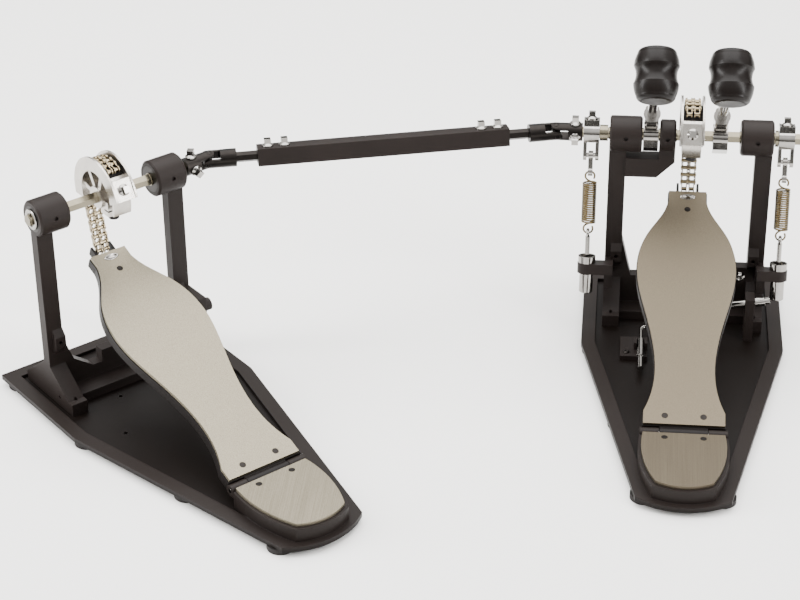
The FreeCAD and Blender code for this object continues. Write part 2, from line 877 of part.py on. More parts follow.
# Seat of the hoop clamp: two ears for the jaw, a shoulder out to the post and a boss for its screw
def add_clamp_seat(pieces, bores, inner):
    pivot_z = s.cross_beam_top + s.jaw_pivot_rise
    for start in (s.jaw_hub_start - s.ear_width - s.knuckle_gap,
                  s.jaw_hub_start + s.jaw_hub_length + s.knuckle_gap):
        pieces.append(block(
            "jaw_ear", s.ear_width, s.jaw_hub_radius * 2, s.jaw_pivot_rise + s.jaw_hub_radius,
            start, -s.jaw_hub_radius, s.cross_beam_top))
        bores.append(round_bar(
            "ear_bore", s.jaw_pin_radius + s.seat_clearance, s.ear_width, start, 0, pivot_z))
    shoulder = s.jaw_hub_start + s.jaw_hub_length + s.knuckle_gap + s.ear_width
    pieces.append(block(
        "beam_shoulder", inner - shoulder, s.post_depth, s.jaw_pivot_rise + s.jaw_hub_radius,
        shoulder, -s.post_depth / 2, s.cross_beam_top))
    pieces.append(block(
        "screw_boss", s.boss_width, s.boss_half_depth * 2, s.boss_top - floor_top,
        s.boss_start, -s.clamp_screw_y - s.boss_half_depth, floor_top))
    bore = round_bar(
        "boss_bore", s.clamp_screw_radius + s.running_clearance, s.clamp_screw_length * 2, 0, 0, 0)
    bore.Placement = clamp_screw_spot.multiply(
        Placement(Vector(-float(s.clamp_screw_length) / 2, 0, 0), axis_turns["X"]))
    bores.append(bore)


clamp_screw_spot = Placement(
    Vector(float(s.clamp_screw_inner), -float(s.clamp_screw_y), float(s.clamp_screw_inner_z)),
    Rotation(Vector(0, 1, 0), -float(s.clamp_screw_tilt)))


def bearings(prefix, spot, is_main):
    inner = s.barrel_outer - s.barrel_length
    starts = [inner, s.barrel_outer - s.bearing_width, -inner - s.bearing_width, -s.barrel_outer]
    rings = []
    for start in starts:
        rings.append(ring(prefix, start, s.bearing_width))
    if is_main:
        rings.append(ring(prefix, -s.arm_inner - s.arm_bearing_width, s.arm_bearing_width))
        rings.append(ring(prefix, -s.arm_inner - s.arm_width, s.arm_bearing_width))
    return placed_group(prefix + "_bearing_group", rings, spot)


def ring(prefix, start, width):
    outer = round_bar(prefix + "_bearing", s.bearing_radius, width, start, 0, s.axle_height)
    bore = round_bar(
        prefix + "_bearing_bore", s.journal_radius + s.running_clearance, width, start, 0, s.axle_height)
    return cut(prefix + "_bearing_ring", outer, [bore])


# Footboards: the bright tread on a black tray with the hinge knuckle and the toe cheeks
def tread_face(inset, height):
    heel = float(s.footboard_heel_gap) + inset
    toe = toe_distance - float(s.toe_overhang) - inset
    stations = [
        (0, s.heel_end_half_width),
        (s.heel_straight_share, s.heel_end_half_width),
        (s.waist_share, s.waist_half_width),
        (s.middle_share, s.middle_half_width),
        (s.ball_share, s.ball_half_width),
        (s.shoulder_share, s.shoulder_half_width),
        (s.neck_share, s.neck_half_width),
        (s.toe_straight_share, s.toe_half_width),
        (1, s.toe_half_width),
    ]
    right = []
    for share, half_width in stations:
        along = heel + float(share) * (toe - heel)
        right.append(Vector(float(half_width) - inset, along, height))
    left = [Vector(-point.x, point.y, point.z) for point in right]
    edges = [Part.makeLine(left[0], right[0]), Part.makeLine(right[0], right[1])]
    edges.append(flowing(right[1:-1]))
    edges.append(Part.makeLine(right[-2], right[-1]))
    edges.append(Part.makeLine(right[-1], left[-1]))
    edges.append(Part.makeLine(left[-1], left[-2]))
    edges.append(flowing(left[1:-1][::-1]))
    edges.append(Part.makeLine(left[1], left[0]))
    return Part.Face(Part.Wire(edges))


def flowing(points):
    curve = Part.BSplineCurve()
    curve.interpolate(points)
    return curve.toShape()


def footboard(prefix, spot):
    top = float(s.footboard_rise)
    under = top - float(s.footboard_thickness)
    whole = spot.multiply(footboard_spot)
    tread = tread_face(0, under).extrude(Vector(0, 0, float(s.footboard_thickness)))
    for x, y in tread_screw_spots():
        tread = tread.cut(Part.makeCylinder(
            float(s.screw_head_radius + s.seat_clearance), float(s.footboard_thickness),
            Vector(x, y, under)))
    node(solid_feature(prefix + "_tread", tread), prefix + "_footboard_plate", whole)
    depth = float(s.tray_depth)
    inset = float(s.tray_inset)
    tray = tread_face(inset, under - depth).extrude(Vector(0, 0, depth))
    hollow = tread_face(inset + float(s.tray_wall), under - depth).extrude(
        Vector(0, 0, depth - float(s.tray_wall)))
    tray = tray.cut(hollow)
    half = float(s.knuckle_half_width)
    knuckle = Part.makeCylinder(
        float(s.knuckle_radius), 2 * half, Vector(-half, 0, 0), Vector(1, 0, 0))
    web = Part.makeBox(
        2 * half, float(s.footboard_heel_gap + s.tray_inset + s.tray_wall),
        float(s.knuckle_radius), Vector(-half, 0, -float(s.knuckle_radius)))
    web = web.fuse(Part.makeBox(
        2 * half, float(s.footboard_heel_gap + s.tray_inset + s.tray_wall) / 2, under,
        Vector(-half, float(s.footboard_heel_gap + s.tray_inset + s.tray_wall) / 2, 0)))
    outer = float(s.toe_cheek_outer)
    cheek_inner = float(s.toe_cheek_inner)
    back = toe_distance - float(s.toe_overhang) - 2 * float(s.tray_wall)
    wall = toe_distance - float(s.toe_overhang) + inset
    reach = toe_distance + float(s.toe_cheek_reach)
    drop = float(s.toe_cheek_drop)
    toe = Part.makeBox(2 * outer, wall - back, drop, Vector(-outer, back, under - drop))
    for start in (cheek_inner, -outer):
        toe = toe.fuse(Part.makeBox(
            outer - cheek_inner, reach - back, drop, Vector(start, back, under - drop)))
    tray = tray.fuse([knuckle, web, toe])
    tray = tray.cut(Part.makeCylinder(
        float(s.hinge_pin_radius + s.running_clearance), 4 * half, Vector(-2 * half, 0, 0),
        Vector(1, 0, 0)))
    for x, y in tread_screw_spots():
        tray = tray.cut(Part.makeCylinder(
            float(s.screw_shank_radius + s.seat_clearance), depth, Vector(x, y, under - depth)))
    node(solid_feature(prefix + "_tray", tray.removeSplitter()), prefix + "_footboard_tray", whole)
    length = s.tray_depth
    shank = -s.footboard_thickness - length
    screw = turned_body(prefix + "_tread_screw", [
        (0, shank),
        (s.screw_shank_radius, shank),
        (s.screw_shank_radius, -s.footboard_thickness),
        (s.screw_head_radius, -s.footboard_thickness),
        (s.screw_head_radius, 0),
        (0, s.screw_crown),
    ])
    spots = []
    for x, y in tread_screw_spots():
        spots.append(whole.multiply(Placement(Vector(x, y, top), Rotation())))
    screws = repeated(prefix + "_tread_screws", screw, spots)
    node(screws, prefix + "_footboard_screws", None, len(spots))


def tread_screw_spots():
    spread = float(s.screw_spacing)
    heel = float(s.footboard_heel_gap + s.tread_screw_reach)
    toe = toe_distance - float(s.toe_overhang + s.toe_screw_reach)
    return [(spread, heel), (-spread, heel), (0, toe)]


# Cams: two flanges and a chain bed on spokes, with the chain clamp on the player's side
def cam(prefix, spot):
    half = float(s.cam_half_width)
    flange = float(s.cam_flange)
    across = Vector(1, 0, 0)

    def disc(radius, start, width):
        return Part.makeCylinder(float(radius), width, Vector(start, 0, axle.z), across)

    wheel = disc(s.cam_radius, -half, flange)
    wheel = wheel.fuse([
        disc(s.cam_radius, half - flange, flange),
        disc(s.cam_bed_radius, -half, 2 * half),
    ])
    wheel = wheel.cut(disc(s.cam_window_radius, -half, 2 * half))
    size = 4 * float(s.cam_radius)
    flat = axle.z - float(s.cam_flat)
    wheel = wheel.cut(Part.makeBox(2 * half, size, size, Vector(-half, -size / 2, flat - size)))
    side = float(s.cam_block_half_width)
    tall = float(s.clamp_half_height)
    for start in (side, -half):
        below = Part.makeBox(half - side, size, size, Vector(start, 0, tall))
        below.Placement = Placement(axle, Rotation(across, float(s.clamp_angle)))
        wheel = wheel.cut(below)
    pieces = [disc(s.cam_hub_radius, -half, 2 * half)]
    spoke = float(s.cam_spoke)
    window = float(s.cam_window_radius + s.cam_bed_radius) / 2
    for index in range(3):
        degrees = float(s.cam_spoke_angle + index * s.cam_spoke_step)
        bar = Part.makeBox(2 * half - 2 * flange, window, spoke, Vector(flange - half, 0, -spoke / 2))
        bar.Placement = Placement(axle, Rotation(across, degrees))
        pieces.append(bar)
    depth = float(s.clamp_depth)
    pad = Part.makeBox(2 * side, depth, 2 * tall, Vector(-side, float(s.clamp_reach) - depth, -tall))
    pad.Placement = Placement(axle, Rotation(across, float(s.clamp_angle)))
    pieces.append(pad)
    reach = float(s.cam_block_reach)
    low = float(s.cam_block_drop)
    nose = float(s.cam_block_depth)
    bottom = Part.makeBox(2 * side, reach, low, Vector(-side, -reach, axle.z - low))
    bottom = bottom.cut(Part.makeBox(2 * side, reach, low, Vector(-side, nose - reach, flat - low)))
    pieces.append(bottom)
    wheel = wheel.fuse(pieces)
    slit = float(s.cam_slit)
    wheel = wheel.cut(Part.makeBox(2 * half, nose / 2, slit, Vector(-half, -reach, axle.z - low * 2 / 3)))
    bore = hex_prism(s.hex_across_flats + 2 * s.hex_clearance, -half, 2 * half)
    seat = key_bolt_room(clamp_bolt_spot())
    wheel = wheel.cut(bore).cut(seat).removeSplitter()
    node(solid_feature(prefix + "_cam_solid", wheel), prefix + "_cam", spot)


def hex_prism(across_flats, start, length):
    radius = float(across_flats) / math.sqrt(3)
    corners = []
    for index in range(7):
        corners.append(around_axle(30 + index * 60, radius) + Vector(start, 0, 0))
    return Part.Face(Part.makePolygon(corners)).extrude(Vector(length, 0, 0))


# Square-headed key bolts, seat at the origin and head upward
def key_bolt(name, length):
    head = float(s.key_bolt_head)
    flange = float(s.key_bolt_flange_height)
    radius = float(s.key_bolt_flange_radius)
    dome = Part.makeCone(radius, head / 2, flange * 2 / 3, Vector(0, 0, flange / 3))
    bolt = Part.makeCylinder(radius, flange / 3)
    square = Part.makeBox(
        head, head, float(s.key_bolt_head_height) - flange / 3, Vector(-head / 2, -head / 2, flange / 3))
    shank = Part.makeCylinder(float(s.key_bolt_shank_radius), length, Vector(0, 0, -length))
    return solid_feature(name, bolt.fuse([dome, square, shank]).removeSplitter())


def key_bolt_room(spot):
    radius = float(s.key_bolt_shank_radius + s.key_bolt_clearance)
    depth = float(s.key_bolt_length + s.key_bolt_clearance)
    room = Part.makeCylinder(radius, depth, Vector(0, 0, -depth))
    room.Placement = spot
    return room


def bolt_spot(point, outward):
    return Placement(point, Rotation(Vector(0, 0, 1), outward))


def clamp_bolt_spot():
    out = around_axle(float(s.clamp_angle), 1) - axle
    return bolt_spot(axle + out * float(s.clamp_reach), out)


# Roller chains, link by link
def chain_link(kind, start, end):
    way = end - start
    pitch = way.Length
    turn = Rotation(Vector(0, 1, 0), way)
    strand = float(s.strand_offset)
    roller = float(s.roller_length)
    thick = float(s.link_plate)
    across = Vector(1, 0, 0)

    def stadium(radius, low, high):
        width = high - low
        ends = [Part.makeCylinder(radius, width, Vector(low, y, 0), across) for y in (0, pitch)]
        tall = radius * float(s.link_waist_share)
        waist = Part.makeBox(width, pitch, 2 * tall, Vector(low, 0, -tall))
        return ends[0].fuse([ends[1], waist]).removeSplitter()

    solids = []
    if kind == "inner":
        bore = float(s.pin_radius + s.pin_clearance)
        for centre in (-strand, strand):
            low = centre - roller / 2
            high = centre + roller / 2
            half = stadium(float(s.inner_plate_radius), low - thick, low)
            half = half.fuse(stadium(float(s.inner_plate_radius), high, high + thick))
            for y in (0, pitch):
                half = half.fuse(Part.makeCylinder(
                    float(s.roller_radius), roller, Vector(low, y, 0), across))
            for y in (0, pitch):
                half = half.cut(Part.makeCylinder(
                    bore, roller + 4 * thick, Vector(low - 2 * thick, y, 0), across))
            solids.append(half)
    else:
        edge = strand + roller / 2 + thick + float(s.link_gap)
        radius = float(s.outer_plate_radius)
        middle = strand - roller / 2 - thick - float(s.link_gap)
        link = stadium(radius, -edge - thick, -edge)
        link = link.fuse([stadium(radius, edge, edge + thick), stadium(radius, -middle, middle)])
        pin = float(s.pin_half_length)
        for y in (0, pitch):
            link = link.fuse(Part.makeCylinder(float(s.pin_radius), 2 * pin, Vector(-pin, y, 0), across))
        solids.append(link)
    for solid in solids:
        solid.Placement = Placement(start, turn)
    return solids


def chain(prefix, spot):
    wrap = []
    for index in range(int(float(s.chain_wrap_links))):
        kind = "outer" if index % 2 else "inner"
        start = free_pins[-1] + index
        wrap.extend(chain_link(kind, cam_pin(start), cam_pin(start + 1)))
    wrapped = solid_feature(prefix + "_wrap", Part.makeCompound(wrap))
    node(wrapped, prefix + "_chain_wrap", spot, len(wrap))
    for number in free_pins[1:]:
        kind = "outer" if number % 2 else "inner"
        start = len(free_pins) - number
        links = chain_link(kind, cam_pin(start), cam_pin(start - 1))
        item = solid_feature(f"{prefix}_link_{number}", Part.makeCompound(links))
        node(item, f"{prefix}_chain_link_{number}", spot, len(links))
    hanging = []
    pitch = float(s.chain_pitch)
    for index in range(int(float(s.chain_drop_links))):
        kind = "outer" if index % 2 else "inner"
        start = cam_pin(0) + drop_way * (pitch * index)
        hanging.extend(chain_link(kind, start, start + drop_way * pitch))
    drop = solid_feature(prefix + "_hanging", Part.makeCompound(hanging))
    node(drop, prefix + "_chain_drop", spot, len(hanging))


# Axle shafts: hexagon bar with round journals in the bearings
def shaft(name, label, spot, low, high, journals, collars):
    pieces = [hex_bar(name + "_bar", s.hex_across_flats, high - low, low, 0, s.axle_height)]
    for start, length in journals:
        pieces.append(round_bar(name + "_journal", s.journal_radius, length, start, 0, s.axle_height))
    for start, length in collars:
        pieces.append(round_bar(name + "_collar", s.collar_radius, length, start, 0, s.axle_height))
    node(fused(name, pieces), label, spot)


# Beater hubs, rods and heads, standing along the lean of the beater
beater_turn = Rotation(Vector(1, 0, 0), float(s.beater_angle) - 90)


def edges_along(solid, way):
    return [edge for edge in solid.Edges if edge.tangentAt(0).isEqual(way, 1e-6)
            or edge.tangentAt(0).isEqual(way * -1, 1e-6)]


def hub(side, centre):
    wide = float(s.hub_width)
    reach = float(s.hub_reach)
    depth = float(s.hub_neck_half_depth)
    collar = float(s.hub_collar_height)
    body = Part.makeCylinder(
        float(s.hub_radius), wide, Vector(-wide / 2, 0, 0), Vector(1, 0, 0))
    slim = float(s.hub_neck_width)
    offset = float(s.beater_rod_offset)
    low = float(s.hub_neck_drop)
    neck = Part.makeBox(slim, 2 * depth, reach + low, Vector(-slim / 2, offset - depth, -low))
    neck = neck.makeFillet(float(s.hub_neck_round), edges_along(neck, Vector(0, 0, 1)))
    waist = Part.makeCone(
        float(s.hub_waist_radius), float(s.hub_collar_radius), collar, Vector(0, offset, reach - collar))
    foot = Part.makeBox(
        wide, float(s.hub_foot_drop), 2 * depth, Vector(-wide / 2, -float(s.hub_foot_drop), -depth))
    solid = body.fuse([neck, waist, foot])
    bore = Part.makeCylinder(
        float(s.beater_rod_radius + s.running_clearance), reach + low, Vector(0, offset, -low))
    solid = solid.cut(bore)
    solid.Placement = Placement(axle, beater_turn)
    solid = solid.cut(hex_prism(s.hex_across_flats + 2 * s.hex_clearance, -wide, 2 * wide))
    solid = solid.removeSplitter()
    seat = key_bolt_room(hub_bolt_spot(0))
    item = solid_feature(side + "_hub", solid.cut(seat))
    node(item, side + "_beater_hub", Placement(Vector(centre, 0, 0), Rotation()))


def hub_bolt_spot(centre):
    out = beater_turn.multVec(Vector(0, 1, 0))
    up = beater_turn.multVec(Vector(0, 0, 1))
    side = float(s.beater_rod_offset + s.hub_neck_half_depth)
    seat = axle + Vector(centre, 0, 0) + out * side + up * float(s.hub_bolt_height)
    return bolt_spot(seat, out)


def beater(side, centre):
    spot = Placement(Vector(centre, 0, axle.z), beater_turn)
    start = -s.hub_neck_drop
    offset = s.beater_rod_offset
    rod = round_bar(side + "_rod", s.beater_rod_radius, s.beater_reach - start, 0, offset, start, "Z")
    node(group(side + "_rod_group", [rod]), side + "_beater_rod", spot)
    half = s.beater_length / 2
    bulge = half * s.beater_bulge_share
    shoulder = half * s.beater_shoulder_share
    head = turned_body(side + "_head_turned", [
        (0, -half),
        (s.beater_end_radius, -half, s.beater_cap_bow),
        (s.beater_shoulder_radius, -shoulder, s.beater_side_bow),
        (s.beater_radius, -bulge, -s.beater_waist_bow),
        (s.beater_radius, bulge, s.beater_side_bow),
        (s.beater_shoulder_radius, shoulder, s.beater_cap_bow),
        (s.beater_end_radius, half),
        (0, half),
    ])
    place(head, 0, offset, s.beater_reach, axis_turns["Y"])
    socket = round_bar(
        side + "_socket", s.beater_rod_radius + s.seat_clearance, s.beater_radius * 2, 0, offset,
        s.beater_reach - s.beater_radius * 2, "Z")
    node(cut(side + "_head", head, [socket]), side + "_beater_head", spot)


# Rockers on the shaft ends, with the pin that carries the spring link
def rocker(side, centre):
    wide = float(s.rocker_width)
    cheek = float(s.rocker_cheek)
    pin = float(s.rocker_pin_distance)
    depth = float(s.rocker_leg_depth)
    across = Vector(1, 0, 0)
    body = Part.makeCylinder(float(s.rocker_radius), wide, Vector(-wide / 2, 0, 0), across)
    head = float(s.rocker_top_depth)
    top = Part.makeBox(wide, head, float(s.rocker_top), Vector(-wide / 2, -head / 2, 0))
    pieces = [top]
    for start in (-wide / 2, wide / 2 - cheek):
        leg = Part.makeBox(cheek, depth, pin, Vector(start, -depth / 2, -pin))
        tip = Part.makeCylinder(depth / 2, cheek, Vector(start, 0, -pin), across)
        pieces.append(leg.fuse(tip))
    pieces.append(Part.makeCylinder(
        float(s.rocker_pin_radius), wide, Vector(-wide / 2, 0, -pin), across))
    solid = body.fuse(pieces)
    solid.Placement = Placement(axle, spring_turn)
    solid = solid.cut(hex_prism(s.hex_across_flats + 2 * s.hex_clearance, -wide, 2 * wide))
    solid = solid.cut(key_bolt_room(rocker_bolt_spot(0))).removeSplitter()
    item = solid_feature(side + "_rocker_solid", solid)
    node(item, side + "_rocker", Placement(Vector(centre, 0, 0), Rotation()))


def rocker_bolt_spot(centre):
    up = spring_turn.multVec(Vector(0, 0, 1))
    return bolt_spot(axle + Vector(centre, 0, 0) + up * float(s.rocker_top), up)


def spring_link(side, sign):
    thick = float(s.spring_link_thickness)
    length = float(s.spring_link_length)
    radius = float(s.spring_link_radius)
    waist = float(s.spring_link_waist)
    across = Vector(1, 0, 0)
    top = Part.makeCylinder(radius, thick, Vector(-thick / 2, 0, 0), across)
    low = Part.makeCylinder(radius, thick, Vector(-thick / 2, 0, -length), across)
    bar = Part.makeBox(thick, waist, length, Vector(-thick / 2, -waist / 2, -length))
    solid = top.fuse([low, bar])
    solid = solid.cut(Part.makeCylinder(
        float(s.rocker_pin_radius + s.running_clearance), thick, Vector(-thick / 2, 0, 0), across))
    solid = solid.cut(Part.makeCylinder(
        float(s.wire_hole_radius), thick, Vector(-thick / 2, 0, -length), across))
    item = solid_feature(side + "_swivel", solid.removeSplitter())
    node(item, side + "_spring_link", spring_spot(sign, s.rocker_pin_distance))


# Return springs: one unbroken wire with a loop at each end
def arc_middle(start, way, end):
    chord = end - start
    side = chord - way * chord.dot(way)
    if side.Length < 1e-9:
        return None
    side.normalize()
    turn = 2 * math.atan2(chord.dot(side), chord.dot(way))
    radius = chord.dot(chord) / (2 * chord.dot(side))
    return start + way * (radius * math.sin(turn / 2)) + side * (radius * (1 - math.cos(turn / 2)))


def two_arcs(first, second):
    start, way = first
    end, last_way = second
    chord = end - start
    both = way + last_way
    lack = 2 * (1 - way.dot(last_way))
    along = chord.dot(both)
    reach = (-along + math.sqrt(along * along + lack * chord.dot(chord))) / lack
    middle = (start + way * reach + end - last_way * reach) / 2
    edges = []
    through = arc_middle(start, way, middle)
    edges.append(Part.Arc(start, through, middle).toShape() if through else Part.makeLine(start, middle))
    through = arc_middle(end, -last_way, middle)
    edges.append(Part.Arc(middle, through, end).toShape() if through else Part.makeLine(middle, end))
    return edges


def spring_path():
    # the coil runs down from the top, each loop stands in the plane of the spring line
    radius = float(s.coil_radius)
    loop = float(s.loop_radius)
    pitch = float(s.coil_pitch)
    turns = float(s.coil_turns)
    length = pitch * turns
    top = float(s.loop_radius) * 2
    marks = []
    end_way = (1, 0, 0.8)
    lead_way = (0.9, -0.4, -0.5)

    def mark(x, y, z, way):
        marks.append((Vector(x, y, z), Vector(*way).normalize()))

    end = float(s.loop_end_share)
    inset = float(s.loop_lead_share) * loop
    side = float(s.loop_side_share) * loop
    mark(loop * end, 0, -loop - loop * end, end_way)
    mark(loop, 0, -loop, (0, 0, 1))
    mark(0, 0, 0, (-1, 0, 0))
    mark(-loop, 0, -loop, (0, 0, -1))
    mark(-inset, -side, -top, lead_way)
    lead = top + pitch
    quarter = int(turns * 4)
    for index in range(quarter + 1):
        turn = index * math.pi / 2
        depth = -lead - length * index / quarter
        rise = -length / quarter / (math.pi / 2) / radius
        mark(radius * math.cos(turn), radius * math.sin(turn), depth,
             (-math.sin(turn), math.cos(turn), rise))
    bottom = -lead - length
    low = bottom - pitch
    mark(-inset, side, low, (-lead_way[0], lead_way[1], lead_way[2]))
    mark(-loop, 0, low - loop, (0, 0, -1))
    mark(0, 0, low - top, (1, 0, 0))
    mark(loop, 0, low - loop, (0, 0, 1))
    mark(loop * end, 0, low - loop + loop * end, (-end_way[0], end_way[1], end_way[2]))
    return marks, -low + top


def spring(side, sign):
    marks, length = spring_path()
    edges = []
    for first, second in zip(marks, marks[1:]):
        edges.extend(two_arcs(first, second))
    wire = Part.Wire(edges)
    start, way = marks[0]
    face = Part.Wire(Part.makeCircle(float(s.wire_radius), start, way))
    solid = Part.Wire(wire).makePipeShell([face], True, False)
    item = solid_feature(side + "_coil", solid)
    node(item, side + "_spring", spring_spot(sign, s.rocker_pin_distance + s.spring_link_length))
    if sign > 0:
        print("least gap of the spring to itself", round(least_gap(wire), 3), "length", round(length, 3))


def least_gap(wire):
    points = wire.discretize(Distance=float(s.wire_radius) / 2)
    step = wire.Length / (len(points) - 1)
    skip = int(4 * float(s.wire_radius) / step) + 2
    least = None
    for index, point in enumerate(points):
        for other in points[index + skip:]:
            gap = (point - other).Length
            if least is None or gap < least:
                least = gap
    return least - 2 * float(s.wire_radius)


# Eyebolts with their cup nuts and long lower nuts
def eyebolts():
    _, length = spring_path()
    eye_distance = float(s.rocker_pin_distance + s.spring_link_length) + length
    bolts = []
    for sign in (1, -1):
        eye = Part.makeTorus(
            float(s.eye_ring_radius), float(s.eye_wire_radius), Vector(), Vector(1, 0, 0))
        ring_reach = float(s.eye_ring_radius)
        stem_length = float(lug_end + lower_nut_height) - eye_distance - ring_reach
        stem = Part.makeCylinder(
            float(s.eyebolt_radius), stem_length, Vector(0, 0, -ring_reach - stem_length))
        bolt = eye.fuse(stem)
        bolt.Placement = spring_spot(sign, eye_distance)
        bolts.append(bolt)
    node(solid_feature("eyebolt_pair", Part.makeCompound(bolts)), "spring_eyebolts", None, 2)
    bore = float(s.eyebolt_radius + s.nut_clearance)
    nuts = []
    for sign in (1, -1):
        cup_height = float(s.cup_height)
        cup = Part.makeCylinder(float(s.cup_radius), cup_height)
        cup = cup.cut(Part.makeCylinder(
            float(s.cup_bore_radius), cup_height, Vector(0, 0, cup_height / 2)))
        cup = cup.cut(Part.makeCylinder(bore, cup_height))
        cup.Placement = spring_spot(sign, s.lug_distance)
        low_height = float(lower_nut_height)
        low = Part.makeCylinder(float(s.lower_nut_radius), low_height)
        low = low.makeChamfer(float(s.lower_nut_chamfer), [low.Edges[0], low.Edges[2]])
        low = low.cut(Part.makeCylinder(bore, low_height))
        low.Placement = spring_spot(sign, lug_end + lower_nut_height)
        nuts.extend([cup, low])
    node(solid_feature("nut_set", Part.makeCompound(nuts)), "spring_nuts", None, len(nuts))


# Universal joints: forked yokes and the crosses between them
def half_strokes():
    # the toe goes down until four more links have left the cam
    pitch = float(s.chain_pitch)
    lever = float(s.chain_radius) * math.cos(math.radians(link_angle / 2))
    run = pitch * (float(s.chain_drop_links) - 1 / 2 + len(free_pins))
    post = axle - hinge

    def hinge_angle(reach):
        sides = toe_distance ** 2 + post.Length ** 2 - reach ** 2
        return math.acos(sides / (2 * toe_distance * post.Length))

    press = hinge_angle(math.hypot(lever, run)) - hinge_angle((toe_pin - axle).Length)
    low = Rotation(Vector(1, 0, 0), -math.degrees(press)).multVec(toe_pin - hinge) + hinge - axle
    last_turn = math.degrees(math.atan2(low.z, low.y) - math.atan2(-run, lever))
    stroke = len(free_pins) * link_angle + drop_turn - last_turn
    half_link = math.atan(math.tan(math.radians(stroke / 2)) * math.cos(
        math.radians(float(s.slave_yaw) - float(s.link_yaw))))
    half_left = math.atan(math.tan(half_link) / math.cos(math.radians(float(s.link_yaw))))
    print("press", round(math.degrees(press), 3), "stroke", round(stroke, 3))
    return math.degrees(half_left), stroke / 2


def pin_way(frame_way, degrees):
    # a pin across the given shaft, turned from upright about that shaft
    turn = Rotation(frame_way, degrees)
    return turn.multVec(Vector(0, 0, 1))


def yoke(name, label, joint, way, pin, hub_length, rod=None, bolts=()):
    # the fork opens toward the joint centre; way points from the joint to the shaft
    radius = float(s.yoke_radius)
    slot = float(s.yoke_slot_half_width)
    arm = float(s.yoke_arm_half_width)
    start = float(s.yoke_arm_start)
    body = Part.makeCylinder(radius, hub_length - start, Vector(0, 0, start))
    fork = Part.makeCylinder(radius, start)
    limit = Part.makeBox(2 * radius, 2 * arm, start, Vector(-radius, -arm, 0))
    tip = Part.makeCylinder(arm, 2 * radius, Vector(-radius, 0, 0), Vector(1, 0, 0))
    tip = tip.common(Part.makeCylinder(radius, 4 * arm, Vector(0, 0, -2 * arm)))
    fork = fork.common(limit).fuse(tip)
    fork = fork.cut(Part.makeBox(
        2 * slot, 4 * radius, 4 * start, Vector(-slot, -2 * radius, -3 * start)))
    solid = body.fuse(fork)
    hole = float(s.cross_pin_radius + s.cross_pin_clearance)
    solid = solid.cut(Part.makeCylinder(hole, 4 * radius, Vector(-2 * radius, 0, 0), Vector(1, 0, 0)))
    if rod is not None:
        solid = solid.fuse(rod)
    frame = Rotation(pin, way.cross(pin), way, "ZXY")
    solid.Placement = Placement(joint, frame)
    for spot in bolts:
        solid = solid.cut(key_bolt_room(spot))
    node(solid_feature(name, solid.removeSplitter()), label)


def cross(label, joint, first, second):
    cube = float(s.cross_cube_half)
    radius = float(s.cross_pin_radius)
    reach = float(s.yoke_radius - s.cross_pin_shy)
    third = first.cross(second)
    block_shape = Part.makeBox(2 * cube, 2 * cube, 2 * cube, Vector(-cube, -cube, -cube))
    block_shape = block_shape.makeFillet(float(s.cross_round), block_shape.Edges)
    solid = block_shape.fuse([
        Part.makeCylinder(radius, 2 * reach, Vector(-reach, 0, 0), Vector(1, 0, 0)),
        Part.makeCylinder(radius, 2 * reach, Vector(0, -reach, 0), Vector(0, 1, 0)),
    ])
    solid.Placement = Placement(joint, Rotation(first, second, third, "ZXY"))
    node(solid_feature(label + "_solid", solid.removeSplitter()), label)


def square_pin(link_way, shaft_pin):
    # the pin across the link that stands square to the shaft's pin
    pin = shaft_pin.cross(link_way)
    return pin.normalize()


